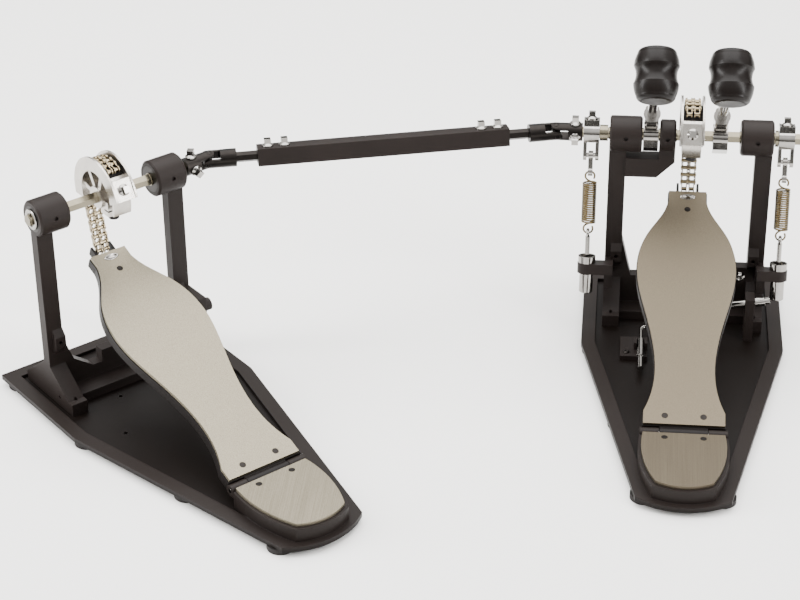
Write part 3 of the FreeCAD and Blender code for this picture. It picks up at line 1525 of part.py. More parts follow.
def build_linkage():
    main_way = Vector(1, 0, 0)
    slave_way = direction(float(s.slave_yaw)) * -1
    link_way = direction(float(s.link_yaw))
    half_left, half_slave = half_strokes()
    main_pin = pin_way(main_way, half_left)
    slave_pin = pin_way(slave_way, -half_slave)
    link_main_pin = square_pin(link_way, main_pin)
    link_slave_pin = square_pin(link_way, slave_pin)
    wall = float(s.main_joint_reach - s.left_spring_offset - s.rocker_width / 2 - s.joint_gap)
    bolts = yoke_bolt_spots(main_joint, main_way)
    hub_length = float(s.yoke_reach)
    bore = hex_rod(s.hex_across_flats + 2 * s.hex_clearance, hub_length * 2)
    yoke_with_bore("main_yoke", main_joint, main_way, main_pin, min(hub_length, wall), bore, bolts)
    slave_bolts = yoke_bolt_spots(slave_joint, slave_way)
    yoke_with_bore("slave_yoke", slave_joint, slave_way, slave_pin, hub_length, bore, slave_bolts)
    inset = float(s.tube_inset)
    length = float(s.link_length)
    tube_length = length - 2 * inset
    for label, joint, way, pin, share in (
            ("link_main_yoke", main_joint, link_way * -1, link_main_pin, s.main_rod_share),
            ("link_slave_yoke", slave_joint, link_way, link_slave_pin, s.slave_rod_share)):
        rod = hex_rod(s.rod_across_flats, inset + float(share) * tube_length - hub_length)
        rod.translate(Vector(0, 0, hub_length))
        yoke(label + "_solid", label, joint, way, pin, hub_length, rod)
    cross("main_cross", main_joint, main_pin, link_main_pin)
    cross("slave_cross", slave_joint, slave_pin, link_slave_pin)
    side = float(s.tube_side)
    tube = Part.makeBox(tube_length, side, side, Vector(0, -side / 2, -side / 2))
    tube = tube.makeFillet(float(s.tube_round), edges_along(tube, Vector(1, 0, 0)))
    tube = tube.cut(Part.makeCylinder(
        float(s.tube_bore_radius), tube_length, Vector(), Vector(1, 0, 0)))
    turn = Rotation(Vector(0, 0, 1), float(s.link_yaw)).multiply(
        Rotation(Vector(1, 0, 0), -float(s.tube_roll)))
    tube.Placement = Placement(slave_joint + link_way * inset, turn)
    up = turn.multVec(Vector(0, 0, 1))
    spots = []
    for along in (s.tube_bolt_inset, s.tube_bolt_inset + s.tube_bolt_spacing):
        for distance in (inset + float(along), length - inset - float(along)):
            seat = slave_joint + link_way * distance + up * (side / 2)
            spots.append(Placement(seat, turn))
    short = float(s.tube_bolt_length)
    room = float(s.key_bolt_shank_radius + s.key_bolt_clearance)
    for spot in spots:
        hole = Part.makeCylinder(room, side / 2, Vector(0, 0, -side / 2))
        hole.Placement = spot
        tube = tube.cut(hole)
    node(solid_feature("tube", tube), "link_tube")
    bolt = key_bolt("tube_bolt", short)
    node(repeated("tube_bolts", bolt, spots), "link_bolts", None, len(spots))
    doc.removeObject(bolt.Name)
    return bolts, slave_bolts


def hex_rod(across_flats, length):
    radius = float(across_flats) / math.sqrt(3)
    corners = []
    for index in range(7):
        turn = math.radians(index * 60)
        corners.append(Vector(radius * math.cos(turn), radius * math.sin(turn), 0))
    return Part.Face(Part.makePolygon(corners)).extrude(Vector(0, 0, length))


def yoke_bolt_spots(joint, way):
    seat = joint + way * float(s.yoke_bolt_reach)
    spots = []
    for degrees in (0, float(s.yoke_bolt_angle)):
        out = Rotation(Vector(1, 0, 0) if way.x > 0 else way * -1, degrees).multVec(Vector(0, 0, 1))
        spots.append(bolt_spot(seat + out * float(s.yoke_radius), out))
    return spots


def yoke_with_bore(label, joint, way, pin, hub_length, bore, bolts):
    yoke(label + "_solid", label, joint, way, pin, hub_length, None, bolts)
    item = nodes[-1][0]
    hollow = bore.copy()
    hollow.translate(Vector(0, 0, float(s.yoke_arm_start + s.joint_gap)))
    upright = Vector(0, 0, 1)
    frame = Rotation(upright, way.cross(upright), way, "ZXY")
    hollow.Placement = Placement(joint, frame).multiply(hollow.Placement)
    item.Shape = item.Shape.cut(hollow)
    item.Placement = Placement()


# Rubber feet under the plates, screws and pins of the frames
def rubber_feet(prefix, spot):
    inset = s.foot_radius + s.foot_edge
    run = heel_reach - s.kink_reach
    fall = s.plate_half_width - s.heel_half_width
    spots = [(0, 0)]
    for side in (1, -1):
        wide = side * (s.plate_half_width - inset)
        spots.append((wide, s.rear_reach - inset))
        spots.append((wide, -s.kink_reach))
        spots.append((wide - side * fall / 2, -s.kink_reach - run / 2))
        spots.append((side * (s.heel_half_width - s.foot_edge - inset / 2), -heel_reach + inset))
    discs = []
    for x, y in spots:
        discs.append(round_bar(prefix + "_foot", s.foot_radius, s.foot_height, x, y, 0, "Z"))
    return placed_group(prefix + "_feet", discs, spot)


def heel_screws(prefix, spot):
    head = -s.screw_head_height
    screw = turned_body(prefix + "_heel_screw", [
        (0, head - s.screw_length),
        (s.screw_shank_radius, head - s.screw_length),
        (s.screw_shank_radius, head),
        (s.screw_head_radius, head),
        (s.screw_head_radius, 0),
        (0, 0),
    ])
    spots = []
    for x, y in screw_spots():
        seat = Vector(float(x), float(y), float(s.heel_plate_top))
        spots.append(spot.multiply(Placement(seat, Rotation())))
    return repeated(prefix + "_heel_screw_pair", screw, spots)


def hinge_pin(prefix, spot):
    reach = s.heel_plate_half_width + s.heel_border
    pin = round_bar(
        prefix + "_hinge_rod", s.hinge_pin_radius, reach * 2, -reach, -s.hinge_reach, s.hinge_height)
    return placed_group(prefix + "_hinge_pin", [pin], spot)


def axle_bolts(label, spots):
    bolt = key_bolt(label + "_bolt", float(s.key_bolt_length))
    node(repeated(label + "_set", bolt, spots), label, None, len(spots))
    doc.removeObject(bolt.Name)


# Hoop clamp: a jaw rocking on a pin above the cross beam, lifted at its tail by the screw
def hoop_clamp():
    pivot = s.cross_beam_top + s.jaw_pivot_rise
    start = s.jaw_hub_start
    wide = s.jaw_hub_length
    bar = s.jaw_tail_height
    plate = s.jaw_plate_half_width
    pieces = [
        round_bar("jaw_hub", s.jaw_hub_radius, wide, start, 0, pivot),
        block(
            "jaw_tail", wide / 2, s.jaw_tail_reach, bar,
            start + wide / 2, -s.jaw_tail_reach, pivot - bar / 2),
        block("jaw_bridge", wide, s.jaw_arm_start + s.jaw_arm_depth, bar, start, 0, pivot - bar / 2),
        block(
            "jaw_arm", wide, s.jaw_arm_depth, pivot + bar / 2 - s.jaw_plate_bottom,
            start, s.jaw_arm_start, s.jaw_plate_bottom),
        block(
            "jaw_plate", plate + start + wide, s.jaw_plate_reach - s.jaw_arm_start, s.jaw_plate_height,
            -plate, s.jaw_arm_start, s.jaw_plate_bottom),
    ]
    body = fused("jaw_body", pieces)
    bore = round_bar("jaw_bore", s.jaw_pin_radius + s.running_clearance, wide, start, 0, pivot)
    node(cut("jaw", body, [bore]), "hoop_clamp_jaw")
    side = s.ear_width + s.knuckle_gap
    pin = round_bar("jaw_rod", s.jaw_pin_radius, wide + side * 2, start - side, 0, pivot)
    length = s.clamp_screw_length
    knurl = s.clamp_knurl_start
    screw = turned_body("clamp_rod", [
        (0, 0),
        (s.clamp_screw_radius, s.clamp_screw_radius),
        (s.clamp_screw_radius, knurl),
        (s.clamp_knurl_radius, knurl),
        (s.clamp_knurl_radius, knurl + s.clamp_knurl_length),
        (s.clamp_screw_radius, knurl + s.clamp_knurl_length),
        (s.clamp_screw_radius, length),
        (0, length),
    ])
    screw.Placement = clamp_screw_spot.multiply(Placement(Vector(), axis_turns["X"]))
    node(screw, "hoop_clamp_screw")
    return pin


# The drum key lies in its clip beside the left foot, its bent end under the footboard
def stored_key():
    rest = floor_top + s.clip_height + s.key_sleeve_radius + s.key_clearance
    front = -s.key_start - s.key_length
    radius = float(s.key_radius)
    bend = float(s.key_bend)
    corner = Vector(-float(s.key_x), -float(s.key_start), float(rest))
    along = Vector(0, 1, 0)
    across = Vector(1, 0, 0)
    low = corner - along * float(s.key_length)
    before = corner - along * bend
    after = corner + across * bend
    middle = corner + (across - along) * (bend - bend / math.sqrt(2))
    far = corner + across * float(s.key_leg)
    path = Part.Wire([
        Part.makeLine(low, before), Part.Arc(before, middle, after).toShape(), Part.makeLine(after, far)])
    rod = path.makePipeShell([Part.Wire(Part.makeCircle(radius, low, along))], True, False)
    key = fused("key_solid", [
        solid_feature("key_rod", rod),
        round_bar(
            "key_sleeve", s.key_sleeve_radius, s.key_sleeve_length, -s.key_x,
            front + s.key_tip_length, rest, "Y"),
        round_bar("key_tip", s.key_tip_radius, s.key_tip_length, -s.key_x, front, rest, "Y"),
    ])
    node(key, "drum_key")
    wall = s.clip_wall
    half = s.key_sleeve_radius + s.key_clearance
    plate = block(
        "clip_plate", s.clip_width + half + wall, s.clip_length, s.clip_height,
        -s.key_x - s.clip_width, -s.clip_reach - s.clip_length / 2, floor_top)
    pieces = [plate]
    for start in (-s.key_x - half - wall, -s.key_x + half):
        pieces.append(block(
            "clip_wall", wall, s.clip_length / 3, s.clip_height + half * 2, start,
            -s.clip_reach - s.clip_length / 6, floor_top))
    node(fused("clip", pieces), "key_clip")


feet = []
screws = []
pins = []
rings = []
for prefix, spot in (("main", main_spot), ("slave", slave_spot)):
    is_main = prefix == "main"
    base_plate(prefix, spot)
    heel_plate(prefix, spot)
    feet.append(rubber_feet(prefix, spot))
    screws.append(heel_screws(prefix, spot))
    pins.append(hinge_pin(prefix, spot))
    pedestal(prefix, spot, is_main)
    rings.append(bearings(prefix, spot, is_main))
    footboard(prefix, spot)
    cam(prefix, spot)
    chain(prefix, spot)
pins.append(hoop_clamp())
node(group("all_feet", feet), "rubber_feet", None, sum(len(item.Links) for item in feet))
node(group("all_heel_screws", screws), "heel_screws", None, len(screws) * len(screw_spots()))
node(group("all_pins", pins), "hinge_pins", None, len(pins))
node(group("all_bearings", rings), "bearings", None, sum(len(item.Links) for item in rings))

hub("right", float(s.right_hub_centre))
hub("left", -float(s.left_hub_centre))
beater("right", float(s.right_hub_centre))
beater("left", -float(s.left_hub_centre))
rocker("right", float(s.right_spring_offset))
rocker("left", -float(s.left_spring_offset))
spring_link("right", 1)
spring_link("left", -1)
spring("right", 1)
spring("left", -1)
eyebolts()
yoke_bolts, slave_yoke_bolts = build_linkage()

clamp_bolt = clamp_bolt_spot()
right_centre = float(s.right_hub_centre)
left_centre = -float(s.left_hub_centre)
right_rocker = rocker_bolt_spot(float(s.right_spring_offset))
left_rocker = rocker_bolt_spot(-float(s.left_spring_offset))
axle_bolts("right_axle_bolts", [clamp_bolt, hub_bolt_spot(right_centre), right_rocker])
axle_bolts("left_axle_bolts", [hub_bolt_spot(left_centre), left_rocker] + yoke_bolts)
axle_bolts("slave_axle_bolts", [slave_spot.multiply(clamp_bolt)] + slave_yoke_bolts)

barrel_inner = s.barrel_outer - s.barrel_length
margin = s.shaft_gap * 2
barrel_run = s.barrel_length + margin * 2
arm_outer = s.arm_inner + s.arm_width
arm_middle = s.arm_inner + s.arm_width / 2
arm_run = s.arm_width / 2 - s.shaft_gap / 2 + margin
shaft(
    "right_shaft", "main_shaft", main_spot, -arm_middle + s.shaft_gap / 2, s.shaft_end,
    [(-arm_middle + s.shaft_gap / 2, arm_run), (barrel_inner - margin, barrel_run)],
    [(s.collar_start, s.right_collar_length)])
shaft(
    "left_shaft_bar", "left_shaft", main_spot, -s.main_joint_reach + s.yoke_arm_start + margin * 2,
    -arm_middle - s.shaft_gap / 2,
    [(-arm_outer - margin, arm_run), (-s.barrel_outer - margin, barrel_run)],
    [(-s.collar_start - s.left_collar_length, s.left_collar_length)])
shaft(
    "slave_shaft_bar", "slave_shaft", slave_spot, -s.slave_shaft_end,
    s.slave_joint_reach - s.yoke_arm_start - margin * 2,
    [(-s.barrel_outer - margin, barrel_run), (barrel_inner - margin, barrel_run)], [])
stored_key()

doc.recompute()
os.makedirs("parts", exist_ok=True)
for item in doc.Objects:
    if "Invalid" in item.State or "Error" in item.State:
        raise RuntimeError("bad feature " + item.Label)
for item, solids in nodes:
    shape = item.Shape
    if shape.isNull() or not shape.isValid():
        raise RuntimeError("bad piece " + item.Label)
    if len(shape.Solids) != solids:
        raise RuntimeError(f"{item.Label} has {len(shape.Solids)} solids, not {solids}")
    shape.exportStep(f"parts/{item.Label}.step")
print(len(nodes), "nodes")
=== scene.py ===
import math

import bmesh
import bpy
from mathutils import Matrix
import numpy as np


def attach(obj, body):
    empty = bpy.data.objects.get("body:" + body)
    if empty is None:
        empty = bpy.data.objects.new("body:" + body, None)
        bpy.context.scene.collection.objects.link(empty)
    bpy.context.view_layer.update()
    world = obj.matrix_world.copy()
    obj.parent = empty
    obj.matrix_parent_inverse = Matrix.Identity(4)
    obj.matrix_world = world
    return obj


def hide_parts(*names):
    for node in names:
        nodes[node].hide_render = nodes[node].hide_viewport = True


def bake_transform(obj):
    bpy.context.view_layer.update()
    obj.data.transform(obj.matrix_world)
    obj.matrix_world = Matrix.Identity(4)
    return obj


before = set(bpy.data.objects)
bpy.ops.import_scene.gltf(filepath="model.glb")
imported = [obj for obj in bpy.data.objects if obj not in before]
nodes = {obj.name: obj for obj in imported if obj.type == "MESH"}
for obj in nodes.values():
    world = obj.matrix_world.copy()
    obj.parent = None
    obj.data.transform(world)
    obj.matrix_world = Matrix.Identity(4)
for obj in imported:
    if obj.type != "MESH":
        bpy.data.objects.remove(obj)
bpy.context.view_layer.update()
print("frame loaded:", len(nodes), "nodes")

mm = 0.001
seam = 0.001 * mm  # points of a mesh nearer than this become one
slave = {"yaw": 42.8, "foot": (-478.13, -143.32, 0)}  # turn in degrees and place in mm, from the main pedal
mixBy, numberA, numberB, colourA, colourB, colourOut = 0, 2, 3, 6, 7, 2  # sockets of a Mix node
noiseLow, noiseHigh = 0.3, 0.7  # most of a noise lies between these
edgeRays = 4  # samples for a softened edge


# sRGB hex to the linear colour that shaders take
def linear(hexText):
    srgb = np.array([int(hexText[i:i + 2], 16) for i in (1, 3, 5)]) / 255
    flat = np.where(srgb <= 0.04045, srgb / 12.92, ((srgb + 0.055) / 1.055) ** 2.4)
    return (*flat.tolist(), 1.0)


# one node with its settings; an input given as a socket is linked
def add(tree, kind, inputs=(), **settings):
    made = tree.nodes.new(kind)
    for key, value in settings.items():
        setattr(made, key, value)
    for key, value in dict(inputs).items():
        if isinstance(value, bpy.types.NodeSocket):
            tree.links.new(value, made.inputs[key])
        else:
            made.inputs[key].default_value = value
    return made


# a material with its shader and object coordinates;
# what is the same all over it goes on the shader's own sockets
def begin(name, **uniform):
    material = bpy.data.materials.new(name)
    material.use_nodes = True
    tree = material.node_tree
    shader = tree.nodes["Principled BSDF"]
    for key, value in uniform.items():
        shader.inputs[key.replace("_", " ")].default_value = value
    place = add(tree, "ShaderNodeTexCoord").outputs["Object"]
    return material, tree, shader, place


# colour, roughness and surface into the shader
def wire(tree, shader, tone, rough, bump):
    tree.links.new(tone.outputs[colourOut], shader.inputs["Base Color"])
    tree.links.new(rough.outputs[0], shader.inputs["Roughness"])
    tree.links.new(bump.outputs[0], shader.inputs["Normal"])


# pattern scale for a feature of that many millimetres
def perMm(size):
    return 1000 / size


coat = {"face": "#221c1a", "speck": "#1a1513", "trayFace": "#181413", "traySpeck": "#110e0d", "specular": 0.12,
        "grain": 0.55, "grainDetail": 3.0, "patch": 38, "patchDetail": 4.0, "roughLow": 0.40, "roughHigh": 0.56,
        "edge": 0.6, "bump": 0.25, "depth": 0.05}


# Epoxy powder coat, sprayed and baked: satin near-black with a fine orange peel
def powderCoat(name, face, speck):
    material, tree, shader, place = begin(name, IOR=1.5, Specular_IOR_Level=coat["specular"])
    peel = add(tree, "ShaderNodeTexNoise", {
        "Vector": place, "Scale": perMm(coat["grain"]), "Detail": coat["grainDetail"]})
    patch = add(tree, "ShaderNodeTexNoise", {
        "Vector": place, "Scale": perMm(coat["patch"]), "Detail": coat["patchDetail"]})
    tone = add(tree, "ShaderNodeMix", {
        mixBy: patch.outputs[0], colourA: linear(speck), colourB: linear(face)}, data_type="RGBA")
    rough = add(tree, "ShaderNodeMapRange", {
        "Value": patch.outputs[0], "To Min": coat["roughLow"], "To Max": coat["roughHigh"]})
    soft = add(tree, "ShaderNodeBevel", {"Radius": coat["edge"] * mm}, samples=edgeRays)
    bump = add(tree, "ShaderNodeBump", {
        "Height": peel.outputs[0], "Strength": coat["bump"], "Distance": coat["depth"] * mm,
        "Normal": soft.outputs[0]})
    wire(tree, shader, tone, rough, bump)
    return material


blackCoat = powderCoat("powder coat on cast aluminium", coat["face"], coat["speck"])
# the tray's copy of the same coat is drawn darker than the coat on the cast parts
trayCoat = powderCoat("powder coat on pressed steel", coat["trayFace"], coat["traySpeck"])

plate = {"rim": "#1e1917", "floor": "#0d0806", "shade": "#140f0d", "shadeShare": 0.25, "specular": 0.11,
         "floorTop": 6.2, "rimTop": 8.8, "grain": 0.7, "grainDetail": 2.0, "patch": 60, "patchDetail": 5.0,
         "roughLow": 0.36, "roughHigh": 0.5, "edge": 0.8, "bump": 0.2, "depth": 0.05}


# Powder-coated plate: the pressed floor, lower than the rim, is drawn darker than the rim round it
def plateCoat():
    material, tree, shader, place = begin("powder coat on the floor plate", IOR=1.5,
                                          Specular_IOR_Level=plate["specular"])
    spot = add(tree, "ShaderNodeSeparateXYZ", {"Vector": place})
    level = add(tree, "ShaderNodeMapRange", {
        "Value": spot.outputs["Z"], "From Min": plate["floorTop"] * mm, "From Max": plate["rimTop"] * mm})
    patch = add(tree, "ShaderNodeTexNoise", {
        "Vector": place, "Scale": perMm(plate["patch"]), "Detail": plate["patchDetail"]})
    peel = add(tree, "ShaderNodeTexNoise", {
        "Vector": place, "Scale": perMm(plate["grain"]), "Detail": plate["grainDetail"]})
    tone = add(tree, "ShaderNodeMix", {
        mixBy: level.outputs[0], colourA: linear(plate["floor"]), colourB: linear(plate["rim"])},
        data_type="RGBA")
    shade = add(tree, "ShaderNodeMix", {
        mixBy: patch.outputs[0], colourA: tone.outputs[colourOut], colourB: linear(plate["shade"])},
        data_type="RGBA")
    blend = add(tree, "ShaderNodeMix", {
        mixBy: plate["shadeShare"], colourA: tone.outputs[colourOut], colourB: shade.outputs[colourOut]},
        data_type="RGBA")
    rough = add(tree, "ShaderNodeMapRange", {
        "Value": patch.outputs[0], "To Min": plate["roughLow"], "To Max": plate["roughHigh"]})
    soft = add(tree, "ShaderNodeBevel", {"Radius": plate["edge"] * mm}, samples=edgeRays)
    bump = add(tree, "ShaderNodeBump", {
        "Height": peel.outputs[0], "Strength": plate["bump"], "Distance": plate["depth"] * mm,
        "Normal": soft.outputs[0]})
    wire(tree, shader, blend, rough, bump)
    return material


floorCoat = plateCoat()

# the slave's pair of tones paints the same aluminium lighter than the main's: painted light
tread = {"light": "#665e50", "dark": "#564e42", "slaveLight": "#908978", "slaveDark": "#6c6557",
         "grit": 0.45, "gritDetail": 2.0, "gritShare": 0.5,
         "brush": 0.35, "brushDetail": 3.0, "brushLength": 60,
         "toneLow": 0.36, "toneHigh": 0.64, "roughLow": 0.42, "roughHigh": 0.56, "bump": 0.22, "depth": 0.03}


# Rolled aluminium, blasted then brushed along its length: soft grey with fine lines and a sandy sparkle,
# both drawn coarser than real so that they show
def treadMetal(name, light, dark, yaw):
    material, tree, shader, place = begin(name, Metallic=1.0)
    along = add(tree, "ShaderNodeMapping", {
        "Vector": place, "Rotation": (0, 0, -math.radians(yaw)),
        "Scale": (1, tread["brush"] / tread["brushLength"], 1)})
    lines = add(tree, "ShaderNodeTexNoise", {
        "Vector": along.outputs[0], "Scale": perMm(tread["brush"]), "Detail": tread["brushDetail"]})
    grit = add(tree, "ShaderNodeTexNoise", {
        "Vector": place, "Scale": perMm(tread["grit"]), "Detail": tread["gritDetail"]})
    both = add(tree, "ShaderNodeMix", {
        mixBy: tread["gritShare"], numberA: lines.outputs[0], numberB: grit.outputs[0]}, data_type="FLOAT")
    part = add(tree, "ShaderNodeMapRange", {
        "Value": both.outputs[0], "From Min": tread["toneLow"], "From Max": tread["toneHigh"]})
    tone = add(tree, "ShaderNodeMix", {
        mixBy: part.outputs[0], colourA: linear(dark), colourB: linear(light)}, data_type="RGBA")
    rough = add(tree, "ShaderNodeMapRange", {
        "Value": both.outputs[0], "From Min": noiseLow, "From Max": noiseHigh,
        "To Min": tread["roughLow"], "To Max": tread["roughHigh"]})
    bump = add(tree, "ShaderNodeBump", {
        "Height": both.outputs[0], "Strength": tread["bump"], "Distance": tread["depth"] * mm})
    wire(tree, shader, tone, rough, bump)
    return material


mainTread = treadMetal("blasted aluminium", tread["light"], tread["dark"], 0)
# the same aluminium on the slave, painted lighter than on the main pedal: painted light
litSlaveTread = treadMetal("blasted aluminium on the slave, painted lighter", tread["slaveLight"], tread["slaveDark"],
                        slave["yaw"])

wear = {"patchDetail": 4.0, "scratchDetail": 2.0, "bump": 0.1, "depth": 0.02}


# Plated or bare metal: the tone drifts over a few millimetres, and fine wear dulls the gloss,
# drawn coarser than real so that it shows; patch, scratch and edge are in millimetres
def metal(name, light, dark, roughLow, roughHigh, patch, scratch, edge=0.25):
    material, tree, shader, place = begin(name, Metallic=1.0)
    cloud = add(tree, "ShaderNodeTexNoise", {
        "Vector": place, "Scale": perMm(patch), "Detail": wear["patchDetail"]})
    fine = add(tree, "ShaderNodeTexNoise", {
        "Vector": place, "Scale": perMm(scratch), "Detail": wear["scratchDetail"]})
    tone = add(tree, "ShaderNodeMix", {
        mixBy: cloud.outputs[0], colourA: linear(dark), colourB: linear(light)}, data_type="RGBA")
    rough = add(tree, "ShaderNodeMapRange", {
        "Value": fine.outputs[0], "From Min": noiseLow, "From Max": noiseHigh,
        "To Min": roughLow, "To Max": roughHigh})
    soft = add(tree, "ShaderNodeBevel", {"Radius": edge * mm}, samples=edgeRays)
    bump = add(tree, "ShaderNodeBump", {
        "Height": fine.outputs[0], "Strength": wear["bump"], "Distance": wear["depth"] * mm,
        "Normal": soft.outputs[0]})
    wire(tree, shader, tone, rough, bump)
    return material


# mirrors the room in clear lights and darks
chrome = metal("bright chrome plate", light="#a8a5a1", dark="#827f7b", roughLow=0.07, roughHigh=0.16,
               patch=9, scratch=0.6)
# soft silver with broad highlights
camMetal = metal("tumbled cast aluminium", light="#c2beb8", dark="#a6a19a", roughLow=0.22, roughHigh=0.34,
                 patch=7, scratch=0.4, edge=0.4)
# greyer and duller than the chrome
shaftMetal = metal("bright drawn steel", light="#807a6b", dark="#676152", roughLow=0.16, roughHigh=0.26,
                   patch=12, scratch=0.5)
# warm tinge, each side plate a little different
chainMetal = metal("nickel-plated chain steel", light="#a0957f", dark="#6e6047", roughLow=0.14, roughHigh=0.26,
                   patch=3, scratch=0.3, edge=0.15)
# yellowish grey, with a line of light on each coil
springMetal = metal("zinc-plated spring wire", light="#77694d", dark="#564a37", roughLow=0.2, roughHigh=0.32,
                    patch=4, scratch=0.4, edge=0.1)
# near black with a soft gleam
darkSteel = metal("black oxide steel", light="#2b2826", dark="#1d1b1a", roughLow=0.30, roughHigh=0.42,
                  patch=6, scratch=0.4, edge=0.3)

rubberSkin = {"tone": "#1b1919", "bloom": "#262322", "specular": 0.2, "grain": 0.5, "grainDetail": 3.0,
              "patch": 9, "patchDetail": 4.0, "roughLow": 0.6, "roughHigh": 0.85, "bump": 0.4, "depth": 0.05}


# Moulded rubber: matt black with a faint grey bloom and a fine grain
def mouldedRubber():
    material, tree, shader, place = begin("moulded rubber", IOR=1.52, Specular_IOR_Level=rubberSkin["specular"])
    grain = add(tree, "ShaderNodeTexNoise", {
        "Vector": place, "Scale": perMm(rubberSkin["grain"]), "Detail": rubberSkin["grainDetail"]})
    bloom = add(tree, "ShaderNodeTexNoise", {
        "Vector": place, "Scale": perMm(rubberSkin["patch"]), "Detail": rubberSkin["patchDetail"]})
    tone = add(tree, "ShaderNodeMix", {
        mixBy: bloom.outputs[0], colourA: linear(rubberSkin["tone"]), colourB: linear(rubberSkin["bloom"])},
        data_type="RGBA")
    rough = add(tree, "ShaderNodeMapRange", {
        "Value": grain.outputs[0], "To Min": rubberSkin["roughLow"], "To Max": rubberSkin["roughHigh"]})
    bump = add(tree, "ShaderNodeBump", {
        "Height": grain.outputs[0], "Strength": rubberSkin["bump"], "Distance": rubberSkin["depth"] * mm})
    wire(tree, shader, tone, rough, bump)
    return material


rubber = mouldedRubber()

beaterSkin = {"tone": "#0c0908", "warm": "#140f0d", "specular": 0.15, "swirl": 14, "swirlDetail": 4.0,
              "grain": 0.8, "grainDetail": 2.0, "roughLow": 0.27, "roughHigh": 0.36,
              "bump": 0.06, "depth": 0.05}


# Hard moulded plastic, polished: brown-black with long soft reflections and faint flow marks
def mouldedPlastic():
    material, tree, shader, place = begin("polished moulded plastic", IOR=1.5,
                                          Specular_IOR_Level=beaterSkin["specular"])
    flow = add(tree, "ShaderNodeTexNoise", {
        "Vector": place, "Scale": perMm(beaterSkin["swirl"]), "Detail": beaterSkin["swirlDetail"]})
    grain = add(tree, "ShaderNodeTexNoise", {
        "Vector": place, "Scale": perMm(beaterSkin["grain"]), "Detail": beaterSkin["grainDetail"]})
    tone = add(tree, "ShaderNodeMix", {
        mixBy: flow.outputs[0], colourA: linear(beaterSkin["tone"]), colourB: linear(beaterSkin["warm"])},
        data_type="RGBA")
    rough = add(tree, "ShaderNodeMapRange", {
        "Value": flow.outputs[0], "From Min": noiseLow, "From Max": noiseHigh,
        "To Min": beaterSkin["roughLow"], "To Max": beaterSkin["roughHigh"]})
    bump = add(tree, "ShaderNodeBump", {
        "Height": grain.outputs[0], "Strength": beaterSkin["bump"], "Distance": beaterSkin["depth"] * mm})
    wire(tree, shader, tone, rough, bump)
    return material


beaterPlastic = mouldedPlastic()
print("materials mixed")

# the finish that each node of the frame shows: the first word found in its name, or else chrome
finishes = [
    ("slave_footboard_plate", litSlaveTread), ("slave_heel_plate", litSlaveTread),
    ("footboard_plate", mainTread), ("heel_plate", mainTread), ("footboard_tray", trayCoat),
    ("screws", darkSteel), ("bearings", darkSteel), ("base_plate", floorCoat), ("pedestal", blackCoat),
    ("clamp_jaw", blackCoat), ("key_clip", blackCoat), ("beater_head", beaterPlastic), ("rubber_feet", rubber),
    ("chain", chainMetal), ("shaft", shaftMetal), ("_cam", camMetal), ("link_tube", blackCoat),
    ("yoke", darkSteel), ("_cross", darkSteel), ("spring_link", chrome), ("_spring", springMetal),
]
for name, part in nodes.items():
    part.data.materials.clear()
    part.data.materials.append(next((finish for word, finish in finishes if word in name), chrome))
print("nodes dressed")


# a mesh object from grid points of shape (rows, columns, 3), closed along either way on request;
# a row drawn in to one point becomes a pole
def gridPiece(name, points, material, aroundRows=False, aroundColumns=True):
    rows, columns = points.shape[:2]
    row = np.arange(rows if aroundRows else rows - 1)[:, None]
    column = np.arange(columns if aroundColumns else columns - 1)[None, :]
    nextRow, nextColumn = (row + 1) % rows, (column + 1) % columns
    corners = np.broadcast_arrays(row * columns + column, row * columns + nextColumn,
                                  nextRow * columns + nextColumn, nextRow * columns + column)
    faces = np.stack(corners, -1).reshape(-1, 4)
    mesh = bpy.data.meshes.new(name)
    mesh.from_pydata(points.reshape(-1, 3).tolist(), [], faces.tolist())
    mesh.polygons.foreach_set("use_smooth", np.ones(len(faces), bool))
    merged = bmesh.new()
    merged.from_mesh(mesh)
    bmesh.ops.remove_doubles(merged, verts=merged.verts, dist=seam)
    merged.to_mesh(mesh)
    merged.free()
    mesh.materials.append(material)
    piece = bpy.data.objects.new(name, mesh)
    bpy.context.collection.objects.link(piece)
    return piece


axle = np.array([0, 0, 177.0])
spring = {"right": 80.5, "left": -85, "eyeReach": 20, "eyeDrop": 82.5, "hang": 34.5, "loop": 4.0, "coil": 5.5,
          "wire": 0.82, "pitch": 1.95, "turns": 18, "lead": 1.95, "hookFrom": -40, "hookTo": 235,
          "sides": 10, "perTurn": 28, "hookSteps": 40, "joinSteps": 16}


# centre line of the spring from its top: a loop in the spring's plane, a short cubic onto the coil,
# the helix x = r cos t, y = r sin t, z = -pitch t / 2 pi, and the same loop upside down at the foot
def springLine():
    loop, coil = spring["loop"], spring["coil"]
    turn = np.radians(np.linspace(spring["hookFrom"], spring["hookTo"], spring["hookSteps"]))
    hook = np.stack([loop * np.cos(turn), 0 * turn, loop * np.sin(turn) - loop], -1)
    angle = np.linspace(0, 2 * np.pi * spring["turns"], spring["turns"] * spring["perTurn"] + 1)
    top = 2 * loop + spring["lead"]
    drop = top + spring["pitch"] * angle / (2 * np.pi)
    helix = np.stack([coil * np.cos(angle), coil * np.sin(angle), -drop], -1)
    length = 2 * top + spring["pitch"] * spring["turns"]
    foot = hook[::-1] * [1, -1, -1] - [0, 0, length]
    share = np.linspace(0, 1, spring["joinSteps"])[1:-1, None]

    # a cubic from the end of one line to the start of the next that keeps the way of both
    def join(a, b):
        start, end = a[-1], b[0]
        reach = np.linalg.norm(end - start)
        out, into = a[-1] - a[-2], b[1] - b[0]
        out, into = out / np.linalg.norm(out) * reach, into / np.linalg.norm(into) * reach
        return ((2 * share ** 3 - 3 * share ** 2 + 1) * start + (share ** 3 - 2 * share ** 2 + share) * out
                + (3 * share ** 2 - 2 * share ** 3) * end + (share ** 3 - share ** 2) * into)

    return np.concatenate([hook, join(hook, helix), helix, join(helix, foot), foot]), length


